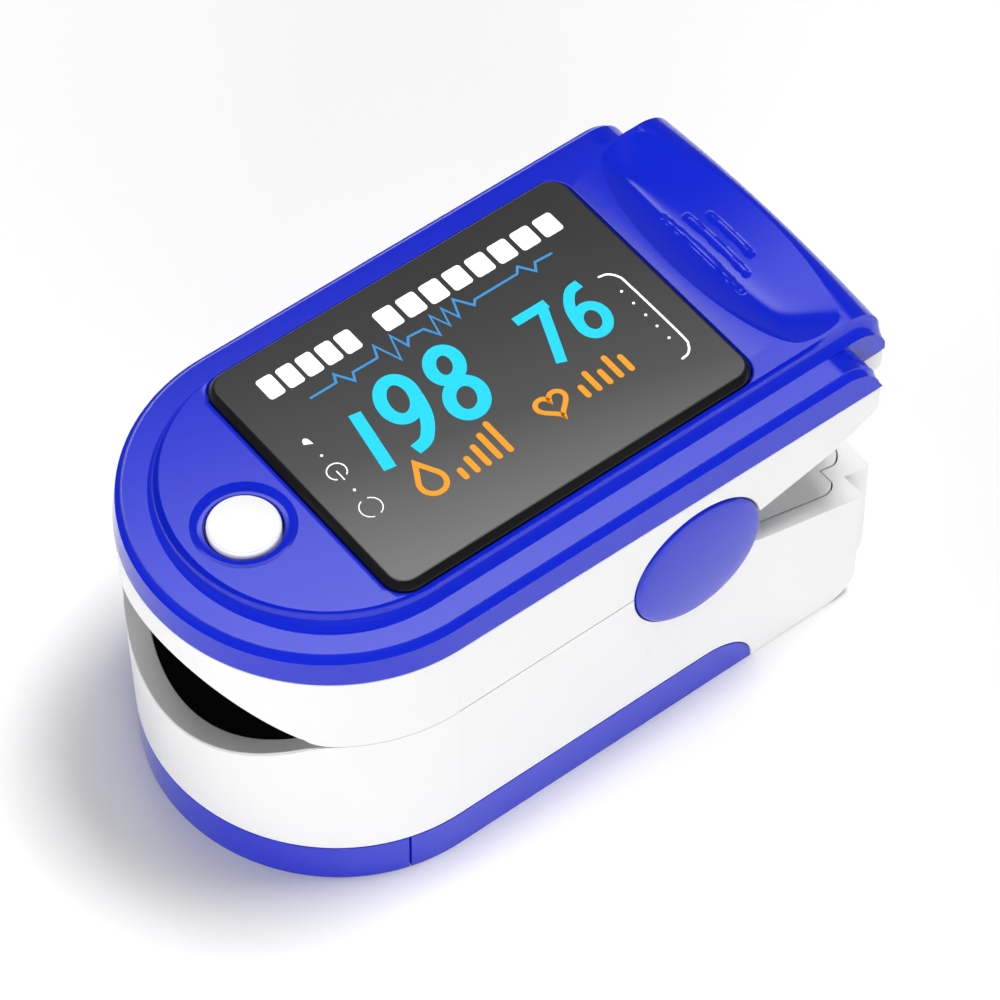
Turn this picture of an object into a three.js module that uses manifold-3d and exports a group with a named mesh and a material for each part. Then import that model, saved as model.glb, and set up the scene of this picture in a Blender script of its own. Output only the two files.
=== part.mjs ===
// Fingertip pulse oximeter: two sprung jaws that close on a finger, two cells in the lower jaw,
// a display and a power button on the upper jaw, and a battery door that slides off forwards.
// Millimetres. +X to the right, -Y towards the finger opening, +Z up.
// The origin is on the surface that it stands on, under the middle of its outer box.

import * as THREE from 'three';
import { mergeVertices } from 'three/addons/utils/BufferGeometryUtils.js';
import Module from 'manifold-3d';

const wasm = await Module();
wasm.setup();

// Driving dimensions
const bodyHalfWidth = 17.3; // at the seam between the white jaw and the blue cover
const baseHalfWidth = 16.8; // at the surface that it stands on
const noseCentreY = -14.43; // the straight sides turn into the round nose here
const noseFlattening = 0.42; // the nose is this much shorter than a true half circle
const sideEndY = { lower: 27.8, upper: 28.5 };
const tailHalfWidth = 14.4; // the middle of each jaw reaches further back than its sides
const tailCornerY = { lower: 29.6, upper: 29.9 };
const tailEndY = { lower: 31.0, upper: 31.3 };
const wall = 1.4;
const gap = 0.15; // between pieces that are fixed together
const jawGap = 0.25; // between the two jaws where they meet
const farAway = 40; // further than any edge of the object

// Heights
const doorTop = 4.9;
const partingZ = 19.125;
const coverSeamZ = 27.8; // at the nose
const coverSeamDrop = 0.6; // the seam is this much lower at the tail
const shoulderZ = 30.0;
const ledgeZ = 30.57;
const islandZ = 32.14;
const glassTop = 32.89;

// Finger opening: two lips that mirror each other about the parting height
const lipRise = 5.125;
const lipCurve = 0.0325; // height lost per square millimetre away from the middle
const lipHalfWidth = 12.4;
const lipBackY = -12; // the nose is cut away for the mouth in front of this
const lipDepth = 2.0;
const lipEdge = 0.3; // thickness of the grey lip over the edge of the jaw's wall
const lipLeg = 1.7; // how far the grey lip reaches down behind that wall
const lipSetBack = { lower: 0, upper: 0.35 };
const padHalfWidth = 10.5;
const padThickness = 1.0;
const padOffset = 0.1; // the pad starts this far behind the line of the lips
const padFront = 2.7; // the pad starts this far inside the nose
const deckThickness = 1.9;
const deckHalfWidth = 15.45;
const deckInset = wall + 0.2;
const fingerStopY = 5.9;
const mouthSpan = [partingZ - 8, partingZ + 8];
const noseTipY = noseCentreY - bodyHalfWidth + noseFlattening;

// Hinge
const pivotY = 9.7;
const pivotRadius = 1.0;
const capRadius = 6.4;
const hingeBayEndY = 13.4;
const wedge = {
  lower: [[pivotY, partingZ - jawGap / 2], [16.5, 16.3], [27.8, 12.9]],
  upper: [[pivotY, partingZ + jawGap / 2], [16.3, 20.5], [24.4, 22.4], [28.5, 24.7]],
};

// Cells and electronics
const cellRadius = 5.25;
const cellX = 5.45;
const cellZ = 6.6;
const boardZ = 26.9;
const boardThickness = 1.0;
const boardTop = boardZ + boardThickness;
const button = { y: -22.1, radius: 3.1, dishRadius: 4.35 };
const glass = { halfWidth: 12.71, foot: 0.3, y0: -16.73, y1: 18.41, corner: 1.5 };
const sensorY = -9;

// ---------- shapes ----------

const noseSteps = 12; // three.js draws twice as many sides round an ellipse
const arcSteps = 5;

function planOutline(halfWidth, inset, jaw, stepped = true) {
  const outline = new THREE.Shape();
  const sideY = sideEndY[jaw] - inset;
  const tailX = Math.min(tailHalfWidth - inset, halfWidth);
  const cornerY = tailCornerY[jaw] - inset;
  const tailY = tailEndY[jaw] - inset;
  outline.moveTo(halfWidth, noseCentreY);
  outline.lineTo(halfWidth, sideY);
  if (stepped) {
    outline.lineTo(tailX, sideY);
    outline.lineTo(tailX, cornerY);
    outline.quadraticCurveTo(0, 2 * tailY - cornerY, -tailX, cornerY);
    outline.lineTo(-tailX, sideY);
  }
  outline.lineTo(-halfWidth, sideY);
  outline.lineTo(-halfWidth, noseCentreY);
  outline.absellipse(0, noseCentreY, halfWidth, halfWidth - noseFlattening, Math.PI, 2 * Math.PI);
  return outline;
}

// The plan is wider at the cover seam than at the base.
function skinHalfWidth(z) {
  return baseHalfWidth + (bodyHalfWidth - baseHalfWidth) * Math.min(z / coverSeamZ, 1);
}

// A solid through one outline at each level, bottom level first.
function loft(levels) {
  const rings = levels.map(({ outline, z }) => {
    const points = outline.getPoints(noseSteps);
    if (points[0].distanceTo(points[points.length - 1]) < 1e-6) points.pop();
    return points.map((p) => new THREE.Vector3(p.x, p.y, z));
  });
  const count = rings[0].length;
  const positions = rings.flat().flatMap((p) => [p.x, p.y, p.z]);
  const index = [];
  for (let level = 0; level + 1 < rings.length; level += 1) {
    for (let i = 0; i < count; i += 1) {
      const a = level * count + i;
      const b = level * count + ((i + 1) % count);
      index.push(a, b, b + count, a, b + count, a + count);
    }
  }
  const flat = rings[0].map((p) => new THREE.Vector2(p.x, p.y));
  const topOffset = (rings.length - 1) * count;
  for (const [a, b, c] of THREE.ShapeUtils.triangulateShape(flat, [])) {
    index.push(c, b, a, topOffset + a, topOffset + b, topOffset + c);
  }
  const geometry = new THREE.BufferGeometry();
  geometry.setAttribute('position', new THREE.Float32BufferAttribute(positions, 3));
  geometry.setIndex(index);
  return solid(geometry);
}

function skin(jaw, inset, z0, z1, stepped = true) {
  const levels = [z0, z1].map((z) => ({
    outline: planOutline(skinHalfWidth(z) - inset, inset, jaw, stepped),
    z,
  }));
  return loft(levels);
}

function extrude(shape, depth, options = {}) {
  return new THREE.ExtrudeGeometry(shape, { depth, bevelEnabled: false, curveSegments: arcSteps, ...options });
}

function shapeOf(points) {
  return new THREE.Shape(points.map(([a, b]) => new THREE.Vector2(a, b)));
}

function prismZ(shape, z0, z1) {
  return solid(extrude(shape, z1 - z0).translate(0, 0, z0));
}

// A shape drawn in Y and Z, run along X
function prismX(shape, x0, x1) {
  const turn = new THREE.Matrix4().makeBasis(
    new THREE.Vector3(0, 1, 0),
    new THREE.Vector3(0, 0, 1),
    new THREE.Vector3(1, 0, 0),
  );
  return solid(extrude(shape, x1 - x0).applyMatrix4(turn).translate(x0, 0, 0));
}

// A shape drawn in X and Z, run along Y
function prismY(shape, y0, y1) {
  const turn = new THREE.Matrix4().makeBasis(
    new THREE.Vector3(1, 0, 0),
    new THREE.Vector3(0, 0, 1),
    new THREE.Vector3(0, -1, 0),
  );
  return solid(extrude(shape, y1 - y0).applyMatrix4(turn).translate(0, y1, 0));
}

function box(x0, x1, y0, y1, z0, z1) {
  const geometry = new THREE.BoxGeometry(x1 - x0, y1 - y0, z1 - z0);
  return solid(geometry.translate((x0 + x1) / 2, (y0 + y1) / 2, (z0 + z1) / 2));
}

function cylinderX(radius, x0, x1, y, z, sides = 24) {
  const geometry = new THREE.CylinderGeometry(radius, radius, x1 - x0, sides).rotateZ(Math.PI / 2);
  return solid(geometry.translate((x0 + x1) / 2, y, z));
}

function cylinderY(radius, x, y0, y1, z, sides = 20) {
  const geometry = new THREE.CylinderGeometry(radius, radius, y1 - y0, sides);
  return solid(geometry.translate(x, (y0 + y1) / 2, z));
}

function cylinderZ(radius, x, y, z0, z1, sides = 20) {
  const geometry = new THREE.CylinderGeometry(radius, radius, z1 - z0, sides).rotateX(Math.PI / 2);
  return solid(geometry.translate(x, y, (z0 + z1) / 2));
}

function lathe(profile, sides) {
  const points = profile.map(([r, z]) => new THREE.Vector2(r, z));
  return new THREE.LatheGeometry(points, sides).rotateX(Math.PI / 2);
}

function roundedRectangle(halfWidth, y0, y1, radius) {
  const shape = new THREE.Shape();
  shape.moveTo(halfWidth, y0 + radius);
  shape.lineTo(halfWidth, y1 - radius);
  shape.absarc(halfWidth - radius, y1 - radius, radius, 0, Math.PI / 2);
  shape.lineTo(radius - halfWidth, y1);
  shape.absarc(radius - halfWidth, y1 - radius, radius, Math.PI / 2, Math.PI);
  shape.lineTo(-halfWidth, y0 + radius);
  shape.absarc(radius - halfWidth, y0 + radius, radius, Math.PI, 1.5 * Math.PI);
  shape.lineTo(halfWidth - radius, y0);
  shape.absarc(halfWidth - radius, y0 + radius, radius, 1.5 * Math.PI, 2 * Math.PI);
  return shape;
}

// ---------- booleans ----------

function solid(geometry) {
  const bare = geometry.clone();
  bare.deleteAttribute('normal');
  bare.deleteAttribute('uv');
  const merged = mergeVertices(bare, 1e-4);
  return new wasm.Manifold(new wasm.Mesh({
    numProp: 3,
    vertProperties: new Float32Array(merged.attributes.position.array),
    triVerts: new Uint32Array(merged.index.array),
  }));
}

const join = (...solids) => solids.reduce((sum, one) => sum.add(one));
const cut = (base, ...tools) => tools.reduce((rest, tool) => rest.subtract(tool), base);
const keep = (base, ...tools) => tools.reduce((rest, tool) => rest.intersect(tool), base);

function geometryOf(made) {
  const mesh = made.getMesh();
  const geometry = new THREE.BufferGeometry();
  geometry.setAttribute('position', new THREE.Float32BufferAttribute(mesh.vertProperties, mesh.numProp));
  geometry.setIndex(new THREE.Uint32BufferAttribute(mesh.triVerts, 1));
  geometry.computeVertexNormals();
  return geometry;
}

// ---------- materials ----------

const material = (color, roughness, metalness = 0) => (
  new THREE.MeshStandardMaterial({ color, roughness, metalness })
);
const finish = {
  blue: () => material(0x2a35d0, 0.25),
  white: () => material(0xf4f5f6, 0.3),
  grey: () => material(0x9a9b9c, 0.55),
  black: () => material(0x0b0b0c, 0.7),
  glass: () => material(0x3a3a3b, 0.1),
  screen: () => material(0x101418, 0.3),
  board: () => material(0x1b6b3a, 0.5),
  chip: () => material(0x1a1a1c, 0.45),
  steel: () => material(0xb8bbc0, 0.3, 0.9),
  nickel: () => material(0xc8c4b8, 0.35, 0.85),
  cell: () => material(0x2f6f4a, 0.35, 0.4),
  lens: () => material(0xc8d0d8, 0.1),
  ribbon: () => material(0xb9bcc0, 0.5),
};

const oximeter = new THREE.Group();
oximeter.name = 'pulse_oximeter';

function piece(name, shape, surface) {
  const geometry = shape.isBufferGeometry ? shape : geometryOf(shape);
  const mesh = new THREE.Mesh(geometry, surface);
  mesh.name = name;
  oximeter.add(mesh);
}

// ---------- sections shared by the two jaws ----------

// side is -1 for the lower jaw and +1 for the upper jaw.
const lipHeight = (x, side) => partingZ + side * (lipRise - lipCurve * x * x);

// The band from one offset behind a lip to another, in X and Z
function lipBand(side, halfWidth, near, far) {
  const steps = 12;
  const xs = Array.from({ length: steps + 1 }, (_, i) => halfWidth * (2 * i / steps - 1));
  const nearEdge = xs.map((x) => [x, lipHeight(x, side) + side * near]);
  const farEdge = xs.map((x) => [x, lipHeight(x, side) + side * far]).reverse();
  return shapeOf([...nearEdge, ...farEdge]);
}

const frontY = noseTipY - 1;
const wide = bodyHalfWidth + 1;
const ascending = (...pair) => pair.sort((a, b) => a - b);

// Everything in front of a lip and between it and the parting height
function mouth(side, clearance) {
  const steps = 12;
  const xs = Array.from({ length: steps + 1 }, (_, i) => lipHalfWidth * (2 * i / steps - 1));
  const edge = xs.map((x) => [x, lipHeight(x, side) + side * clearance]);
  const beyond = partingZ - side * 1;
  return prismY(shapeOf([...edge, [lipHalfWidth, beyond], [-lipHalfWidth, beyond]]), frontY, lipBackY);
}

function capHole() {
  return cylinderX(capRadius + 0.2, -wide, wide, pivotY, partingZ, 40);
}

// The grey lip follows the nose, over the edge of the jaw's wall and down behind it.
function lipTrim(side, setBack, growth = 0) {
  const jaw = side < 0 ? 'lower' : 'upper';
  const halfWidth = lipHalfWidth - 0.1 + growth;
  const endY = noseCentreY - 5;
  const inside = skin(jaw, lipDepth + growth, ...mouthSpan);
  const over = cut(skin(jaw, setBack, ...mouthSpan), inside);
  const behind = cut(skin(jaw, wall + gap - growth, ...mouthSpan), inside);
  const edge = prismY(lipBand(side, halfWidth, -growth, lipEdge + growth), frontY, lipBackY);
  const leg = prismY(lipBand(side, halfWidth, -growth, lipLeg + growth), frontY, lipBackY);
  const ahead = box(-lipHalfWidth - growth, lipHalfWidth + growth, frontY, endY, ...mouthSpan);
  return keep(join(keep(over, edge), keep(behind, leg)), ahead);
}

// The sensors look through a window in each pad.
const sensorPocket = { halfWidth: 2.6, halfLength: 2.2 };

function fingerPad(side) {
  const jaw = side < 0 ? 'lower' : 'upper';
  const section = lipBand(side, padHalfWidth, padOffset, padOffset + padThickness);
  const run = keep(prismY(section, frontY, fingerStopY - gap), skin(jaw, padFront, ...mouthSpan));
  const { halfWidth, halfLength } = sensorPocket;
  return cut(run, box(-halfWidth, halfWidth, sensorY - halfLength, sensorY + halfLength, -farAway, farAway));
}

const deckRise = lipRise + deckThickness + padOffset; // from the parting height to a deck's far side
const flangeThickness = 1.3;
const ribThickness = 1;
const ribbonHole = { halfWidth: 2, y0: 10.2, y1: 12.9 };

// The curved plate that carries the pad, with flanges, the finger stop and the hinge bay
function deckFront(side) {
  const jaw = side < 0 ? 'lower' : 'upper';
  const flange = partingZ + side * (jawGap / 2 + 0.1);
  const plate = lipBand(side, lipHalfWidth, padOffset, padOffset + deckThickness);
  const flangeSpan = ascending(flange, flange + side * flangeThickness);
  const stopSpan = ascending(flange, partingZ + side * deckRise);
  const baySpan = ascending(partingZ + side * (deckRise - ribThickness), partingZ + side * deckRise);
  const flanges = [-1, 1].map((hand) => {
    const x = ascending(hand * (lipHalfWidth - 0.6), hand * bodyHalfWidth);
    return box(...x, frontY, fingerStopY + 0.5, ...flangeSpan);
  });
  const whole = join(
    prismY(plate, frontY, fingerStopY + 0.5),
    ...flanges,
    box(-wide, wide, fingerStopY, fingerStopY + ribThickness, ...stopSpan),
    box(-wide, wide, fingerStopY, hingeBayEndY + ribThickness, ...baySpan),
  );
  const padSeat = keep(
    prismY(lipBand(side, padHalfWidth + gap, -1, padOffset + padThickness + 0.05), frontY, fingerStopY),
    skin(jaw, padFront - 0.2, ...mouthSpan),
  );
  const { halfWidth, halfLength } = sensorPocket;
  const [holeX, holeY] = [halfWidth + 0.4, halfLength + 0.4];
  const room = box(-deckHalfWidth, deckHalfWidth, -farAway, farAway, ...mouthSpan);
  return cut(
    keep(whole, skin(jaw, deckInset, ...mouthSpan), room),
    padSeat,
    lipTrim(side, 0, gap),
    box(-holeX, holeX, sensorY - holeY, sensorY + holeY, -farAway, farAway),
    box(-ribbonHole.halfWidth, ribbonHole.halfWidth, ribbonHole.y0, ribbonHole.y1, -farAway, farAway),
  );
}

// The pin passes through two lugs on each jaw, those of the upper jaw inside those of the lower.
const lugSpan = { lower: [13.5, 15.3], upper: [11.5, 13.2] };
const lugRadius = 2.4;
const lugStemHalf = 1.8;

// A jaw's lug around the hinge pin, with its stem
function hingeLug(side, hand) {
  const [near, outer] = side < 0 ? lugSpan.lower : lugSpan.upper;
  const x = ascending(hand * near, hand * outer);
  const z = ascending(partingZ, partingZ + side * (deckRise - 0.5));
  const stem = box(...x, pivotY - lugStemHalf, pivotY + lugStemHalf, ...z);
  return join(stem, cylinderX(lugRadius, ...x, pivotY, partingZ, 20));
}

const pinHole = (radius) => cylinderX(radius, -wide, wide, pivotY, partingZ, 20);

// The two halves of the tail that a jaw's side view keeps: the sides, and the longer middle
function envelope(sideProfile, tailProfile) {
  return join(prismX(sideProfile, -wide, wide), prismX(tailProfile, -tailHalfWidth, tailHalfWidth));
}

// ---------- lower jaw ----------

const doorEnd = { y: 13.2, reach: 3.2 };
const doorEndY = doorEnd.y + doorEnd.reach;
const tailRounding = 3.2;

function lowerEnvelope() {
  const [hinge, knee, end] = wedge.lower;
  const side = new THREE.Shape();
  side.moveTo(frontY, doorTop + gap);
  side.lineTo(doorEnd.y, doorTop + gap);
  side.absellipse(doorEnd.y, 0, doorEnd.reach + gap, doorTop + gap, Math.PI / 2, 0, true);
  side.lineTo(end[0] - tailRounding, 0);
  side.absarc(end[0] - tailRounding, tailRounding, tailRounding, -Math.PI / 2, 0);
  side.lineTo(...end);
  side.lineTo(...knee);
  side.lineTo(...hinge);
  side.lineTo(frontY, hinge[1]);
  const tailStartY = knee[0] + 3;
  const tail = new THREE.Shape();
  tail.moveTo(tailStartY, 0);
  tail.lineTo(tailEndY.lower - tailRounding, 0);
  tail.absarc(tailEndY.lower - tailRounding, tailRounding, tailRounding, -Math.PI / 2, 0);
  tail.lineTo(tailEndY.lower, end[1] - 1);
  tail.lineTo(...end);
  tail.lineTo(tailStartY, end[1] + 2.5);
  return envelope(side, tail);
}

// Under the door's side walls the shell has a skirt, and a shelf joins the two.
const skirt = { outer: 15.4, inner: 14.2, bottom: 1.3 };
const shelfTop = 6.2;
const floorThickness = 1.2;
const doorTongue = { halfWidth: 12.2, endY: 19 };
const doorRail = { inner: 14.9, outer: 15.8, y0: -8, y1: 11, z0: 3.0, z1: 3.8 };
const screwX = 12.6;
const deckScrews = [[screwX, -12], [-screwX, -12], [screwX, 21.5], [-screwX, 21.5]];
const screwHole = { thread: 0.85, shank: 0.95, head: 1.6 };
const contactWallY = 25.2;

function skirtRing(halfWidth, z0, z1) {
  const outline = planOutline(halfWidth, wall, 'lower', false);
  return keep(prismZ(outline, z0, z1), box(-wide, wide, frontY, doorEndY, z0, z1));
}

function lowerShell() {
  const outside = keep(skin('lower', 0, 0, partingZ), lowerEnvelope());
  const upperRoom = skin('lower', wall, shelfTop, partingZ + 1);
  const tailRoom = keep(
    skin('lower', wall, floorThickness, shelfTop + 1),
    box(-wide, wide, doorEndY + 1.2, farAway, 0, partingZ),
  );
  const bay = skirtRing(skirt.inner, -1, shelfTop + 1);
  const rearBay = box(-13.4, 13.4, 12, doorEndY + 1.4, floorThickness, shelfTop + 1);
  const tongueSlot = box(
    -doorTongue.halfWidth - gap, doorTongue.halfWidth + gap,
    12, doorTongue.endY + gap, -1, floorThickness + 1,
  );
  const hollow = cut(
    join(outside, skirtRing(skirt.outer, skirt.bottom, shelfTop)),
    upperRoom, tailRoom, bay, rearBay, tongueSlot,
  );
  const lugs = deckScrews.map(([x, y]) => {
    const span = ascending(Math.sign(x) * 10.9, Math.sign(x) * 16);
    return box(...span, y - 2, y + 2, doorTop + gap, shelfTop);
  });
  const tailCorners = [-1, 1].map((hand) => {
    const span = ascending(hand * 13.2, hand * 16.2);
    return keep(box(...span, 26.9, 29, 3, 16), keep(skin('lower', 0.5, 0, partingZ), lowerEnvelope()));
  });
  const contactWall = box(-12, 12, contactWallY, contactWallY + 1, 0.6, 10.6);
  const whole = join(hollow, ...lugs, ...tailCorners, contactWall);
  const railGrooves = [-1, 1].map((hand) => {
    const span = ascending(hand * (doorRail.inner - 0.2), hand * (doorRail.outer - 0.2));
    return box(...span, -20, doorRail.y1 + 1.5, doorRail.z0 - 0.2, doorRail.z1 + 0.2);
  });
  return cut(
    whole,
    mouth(-1, lipEdge + 0.05),
    capHole(),
    ...railGrooves,
    ...deckScrews.flatMap(([x, y]) => [
      cylinderZ(screwHole.shank, x, y, 0, shelfTop + 1, 12),
      cylinderZ(screwHole.head, x, y, -1, doorTop + gap, 14),
    ]),
  );
}

function lowerDeck() {
  const rearSlope = shapeOf([
    [hingeBayEndY, 16.85],
    [16.5, 16.15],
    [31, 11.8],
    [31, 10.7],
    [16.5, 15.05],
    [hingeBayEndY + 1, 15.6],
    [hingeBayEndY + 1, 12.1],
    [hingeBayEndY, 12.1],
  ]);
  const broad = box(-deckHalfWidth, deckHalfWidth, 12, 26.7, 0, 20);
  const narrow = box(-13.0, 13.0, 12, 29.4, 0, 20);
  const rearPlate = keep(prismX(rearSlope, -wide, wide), join(broad, narrow));
  const bossTop = { front: 18.2, rear: 14.2 };
  const bosses = deckScrews.map(([x, y]) => (
    cylinderZ(1.65, x, y, shelfTop + gap, y > 0 ? bossTop.rear : bossTop.front, 14)
  ));
  const solidDeck = join(
    deckFront(-1),
    rearPlate,
    ...bosses,
    hingeLug(-1, 1),
    hingeLug(-1, -1),
  );
  return cut(
    keep(solidDeck, skin('lower', deckInset, 0, 30)),
    pinHole(pivotRadius + 0.03),
    ...deckScrews.map(([x, y]) => cylinderZ(screwHole.thread, x, y, 0, 13, 12)),
  );
}

// A screw that is driven in from below, with its head at headZ
function screw(x, y, headZ, length) {
  const head = { radius: 1.35, thickness: 0.8 };
  const core = 0.75;
  const profile = [
    [0, 0], [head.radius, 0], [head.radius, head.thickness],
    [core, head.thickness], [core, length], [0, length],
  ];
  return solid(lathe(profile, 14).translate(x, y, headZ));
}

// A wire run round a mean radius, with straight ends given as points
function wire(points, radius, steps) {
  const path = new THREE.CatmullRomCurve3(points.map((p) => new THREE.Vector3(...p)), false, 'centripetal');
  const section = new THREE.Shape();
  section.absarc(0, 0, radius, 0, 2 * Math.PI);
  return solid(new THREE.ExtrudeGeometry(section, {
    steps, bevelEnabled: false, extrudePath: path, curveSegments: 3,
  }));
}

function coneSpring(x, y0, y1, r0, r1) {
  const turns = 3.5;
  const perTurn = 10;
  const count = turns * perTurn;
  const points = Array.from({ length: count + 1 }, (_, i) => {
    const t = i / count;
    const angle = 2 * Math.PI * turns * t;
    const radius = r0 + (r1 - r0) * t;
    return [x + radius * Math.cos(angle), y0 + (y1 - y0) * t, cellZ + radius * Math.sin(angle)];
  });
  return wire(points, 0.25, count);
}

const springWire = 0.35; // radius
const coilRadius = 1.6;

function torsionSpring(hand) {
  const turns = 4;
  const perTurn = 10;
  const [x0, x1] = [3.4, 7.4];
  const start = 0.5; // radians behind straight up, where the upper arm leaves the coil
  const end = 0.1; // radians behind straight down, where the lower arm leaves it
  const sweep = 2 * Math.PI * turns + Math.PI + start + end;
  const count = Math.round(sweep / (2 * Math.PI) * perTurn);
  const coil = Array.from({ length: count + 1 }, (_, i) => {
    const t = i / count;
    const angle = start - sweep * t;
    const y = pivotY + coilRadius * Math.sin(angle);
    const z = partingZ + coilRadius * Math.cos(angle);
    return [hand * (x0 + (x1 - x0) * t), y, z];
  });
  const armX = [hand * (x0 - 0.2), hand * (x1 + 0.2)];
  const upperArm = [[armX[0], 20.4, 20.85], [armX[0], 16.6, 19.8], [armX[0], 13.6, 19.15]];
  const lowerArm = [[armX[1], 13.4, 18.0], [armX[1], 15.4, 17.35], [armX[1], 20.6, 15.75]];
  return wire([...upperArm, ...coil, ...lowerArm], springWire, 70);
}

function pivotCap(hand) {
  const back = 15.6;
  const rim = bodyHalfWidth - 0.15;
  const crown = bodyHalfWidth + 0.15;
  const peg = { radius: 0.85, end: back - 0.55 };
  const profile = [
    [0, peg.end], [peg.radius, peg.end], [peg.radius, back], [capRadius, back],
    [capRadius, rim - 0.25], [capRadius - 0.3, rim], [4.4, crown - 0.08], [2.2, crown], [0, crown],
  ];
  const made = lathe(profile, 40).rotateY(Math.PI / 2);
  if (hand < 0) made.rotateZ(Math.PI);
  return solid(made.translate(0, pivotY, partingZ));
}

// bodyY is the front end of the cell's body, and nubY is the tip of its positive contact.
function cell(x, bodyY, nubY) {
  const bodyLength = 43.7;
  const nubRadius = 1.9;
  const nub = nubY > bodyY
    ? cylinderY(nubRadius, x, bodyY + bodyLength - 0.1, nubY, cellZ, 14)
    : cylinderY(nubRadius, x, nubY, bodyY + 0.1, cellZ, 14);
  return join(cylinderY(cellRadius, x, bodyY, bodyY + bodyLength, cellZ, 28), nub);
}

const bay = { front: -25.0, rear: 24.7 };
const plate = { thickness: 0.3, z0: 2.6, z1: 10.4 };

const contactSheet = (x0, x1, y0) => box(x0, x1, y0, y0 + plate.thickness, plate.z0, plate.z1);
const contactBump = (x, y0, y1) => cylinderY(1.7, x, y0, y1, cellZ, 14);

piece('lower_shell', lowerShell(), finish.white());
piece('lower_deck', lowerDeck(), finish.white());
piece('lower_lip', lipTrim(-1, lipSetBack.lower), finish.grey());
piece('lower_finger_pad', fingerPad(-1), finish.black());

function sensorWindow(side) {
  const [halfWidth, halfLength] = [sensorPocket.halfWidth - 0.2, sensorPocket.halfLength - 0.2];
  const near = partingZ + side * (lipRise + padOffset + 0.15);
  const behind = partingZ + side * (lipRise + padOffset + padThickness - 0.1);
  return box(-halfWidth, halfWidth, sensorY - halfLength, sensorY + halfLength, ...ascending(near, behind));
}

piece('detector_window', sensorWindow(-1), finish.lens());
piece('photodiode', box(-1.7, 1.7, sensorY - 1.5, sensorY + 1.5, 11.3, 12.8), finish.chip());
piece('cell_left', cell(-cellX, -21.8, 22.7), finish.cell());
piece('cell_right', cell(cellX, -22.1, -22.9), finish.cell());
piece('contact_bridge', join(
  contactSheet(-7.6, 7.6, bay.front - plate.thickness),
  contactBump(cellX, bay.front - 0.1, -23.0),
), finish.nickel());
piece('contact_positive', join(
  contactSheet(-9.5, -1, bay.rear),
  contactBump(-cellX, 22.8, bay.rear + 0.1),
), finish.nickel());
piece('contact_negative', contactSheet(1, 9.5, bay.rear), finish.nickel());
piece('contact_spring_front', coneSpring(-cellX, bay.front + 0.35, -22.15, 2.6, 1.5), finish.steel());
piece('contact_spring_rear', coneSpring(cellX, bay.rear - 0.35, 21.95, 2.6, 1.5), finish.steel());
piece('hinge_pin', cylinderX(pivotRadius, -14.9, 14.9, pivotY, partingZ, 20), finish.steel());
piece('torsion_spring_right', torsionSpring(1), finish.steel());
piece('torsion_spring_left', torsionSpring(-1), finish.steel());
piece('pivot_cap_right', pivotCap(1), finish.blue());
piece('pivot_cap_left', pivotCap(-1), finish.blue());
deckScrews.forEach(([x, y], i) => {
  piece(`deck_screw_${i + 1}`, screw(x, y, doorTop + gap - 0.95, 8), finish.steel());
});

// The ribbon runs through the hinge bay, behind the pin, from one jaw to the other.
piece('jaw_ribbon', prismX(shapeOf([
  [11.2, 12.4], [11.9, 15], [12.2, 19.1], [11.9, 23.2], [11.2, 26.2],
  [10.8, 26.2], [11.5, 23.2], [11.8, 19.1], [11.5, 15], [10.8, 12.4],
]), -1.5, 1.5), finish.ribbon());

// ---------- battery door ----------

const doorWall = 1.2;
const trimSeamY = -19;

function doorEnvelope() {
  const side = new THREE.Shape();
  side.moveTo(frontY, 0);
  side.lineTo(doorEndY, 0);
  side.absellipse(doorEnd.y, 0, doorEnd.reach, doorTop, 0, Math.PI / 2);
  side.lineTo(frontY, doorTop);
  return prismX(side, -wide, wide);
}

function doorRing() {
  return keep(
    cut(skin('lower', 0, 0, doorTop, false), skin('lower', doorWall, -1, doorTop + 1, false)),
    doorEnvelope(),
  );
}

function batteryDoor() {
  const strips = keep(doorRing(), box(-wide, wide, trimSeamY + gap / 2, 20, 0, doorTop));
  const floor = keep(
    skin('lower', doorWall - 0.2, 0, 1, false),
    box(-wide, wide, trimSeamY + gap / 2, doorEndY - 0.2, 0, 1),
  );
  const noseFloor = keep(
    skin('lower', doorWall + gap, 0, 1, false),
    box(-wide, wide, frontY, trimSeamY + 1, 0, 1),
  );
  const tongue = box(-doorTongue.halfWidth, doorTongue.halfWidth, 10, doorTongue.endY, 0, 1);
  const rails = [-1, 1].map((hand) => {
    const span = ascending(hand * doorRail.inner, hand * doorRail.outer);
    return box(...span, doorRail.y0, doorRail.y1, doorRail.z0, doorRail.z1);
  });
  return join(strips, floor, noseFloor, tongue, ...rails);
}

piece('battery_door', batteryDoor(), finish.blue());
piece(
  'door_front_trim',
  keep(doorRing(), box(-wide, wide, frontY, trimSeamY - gap / 2, 0, doorTop)),
  finish.blue(),
);

// ---------- upper jaw ----------

const seamHeight = (y) => coverSeamZ - coverSeamDrop * (y - noseTipY) / (tailEndY.upper - noseTipY);

function upperShellEnvelope() {
  const [hinge, knee, bend, end] = wedge.upper;
  const rear = sideEndY.upper;
  const side = shapeOf([
    [frontY, hinge[1]], hinge, knee, bend, end,
    [rear, seamHeight(rear) - gap / 2], [frontY, seamHeight(frontY) - gap / 2],
  ]);
  const tailStartY = bend[0] - 2;
  const tail = shapeOf([
    [tailStartY, 21.93], bend, end, [tailEndY.upper, end[1] + 0.5],
    [tailEndY.upper, seamHeight(tailEndY.upper) - gap / 2],
    [tailStartY, seamHeight(tailStartY) - gap / 2],
  ]);
  return envelope(side, tail);
}

function upperShell() {
  return cut(
    keep(skin('upper', 0, partingZ, coverSeamZ + 1), upperShellEnvelope()),
    skin('upper', wall, partingZ - 1, coverSeamZ + 2),
    mouth(1, lipEdge + 0.05),
    capHole(),
  );
}

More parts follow.
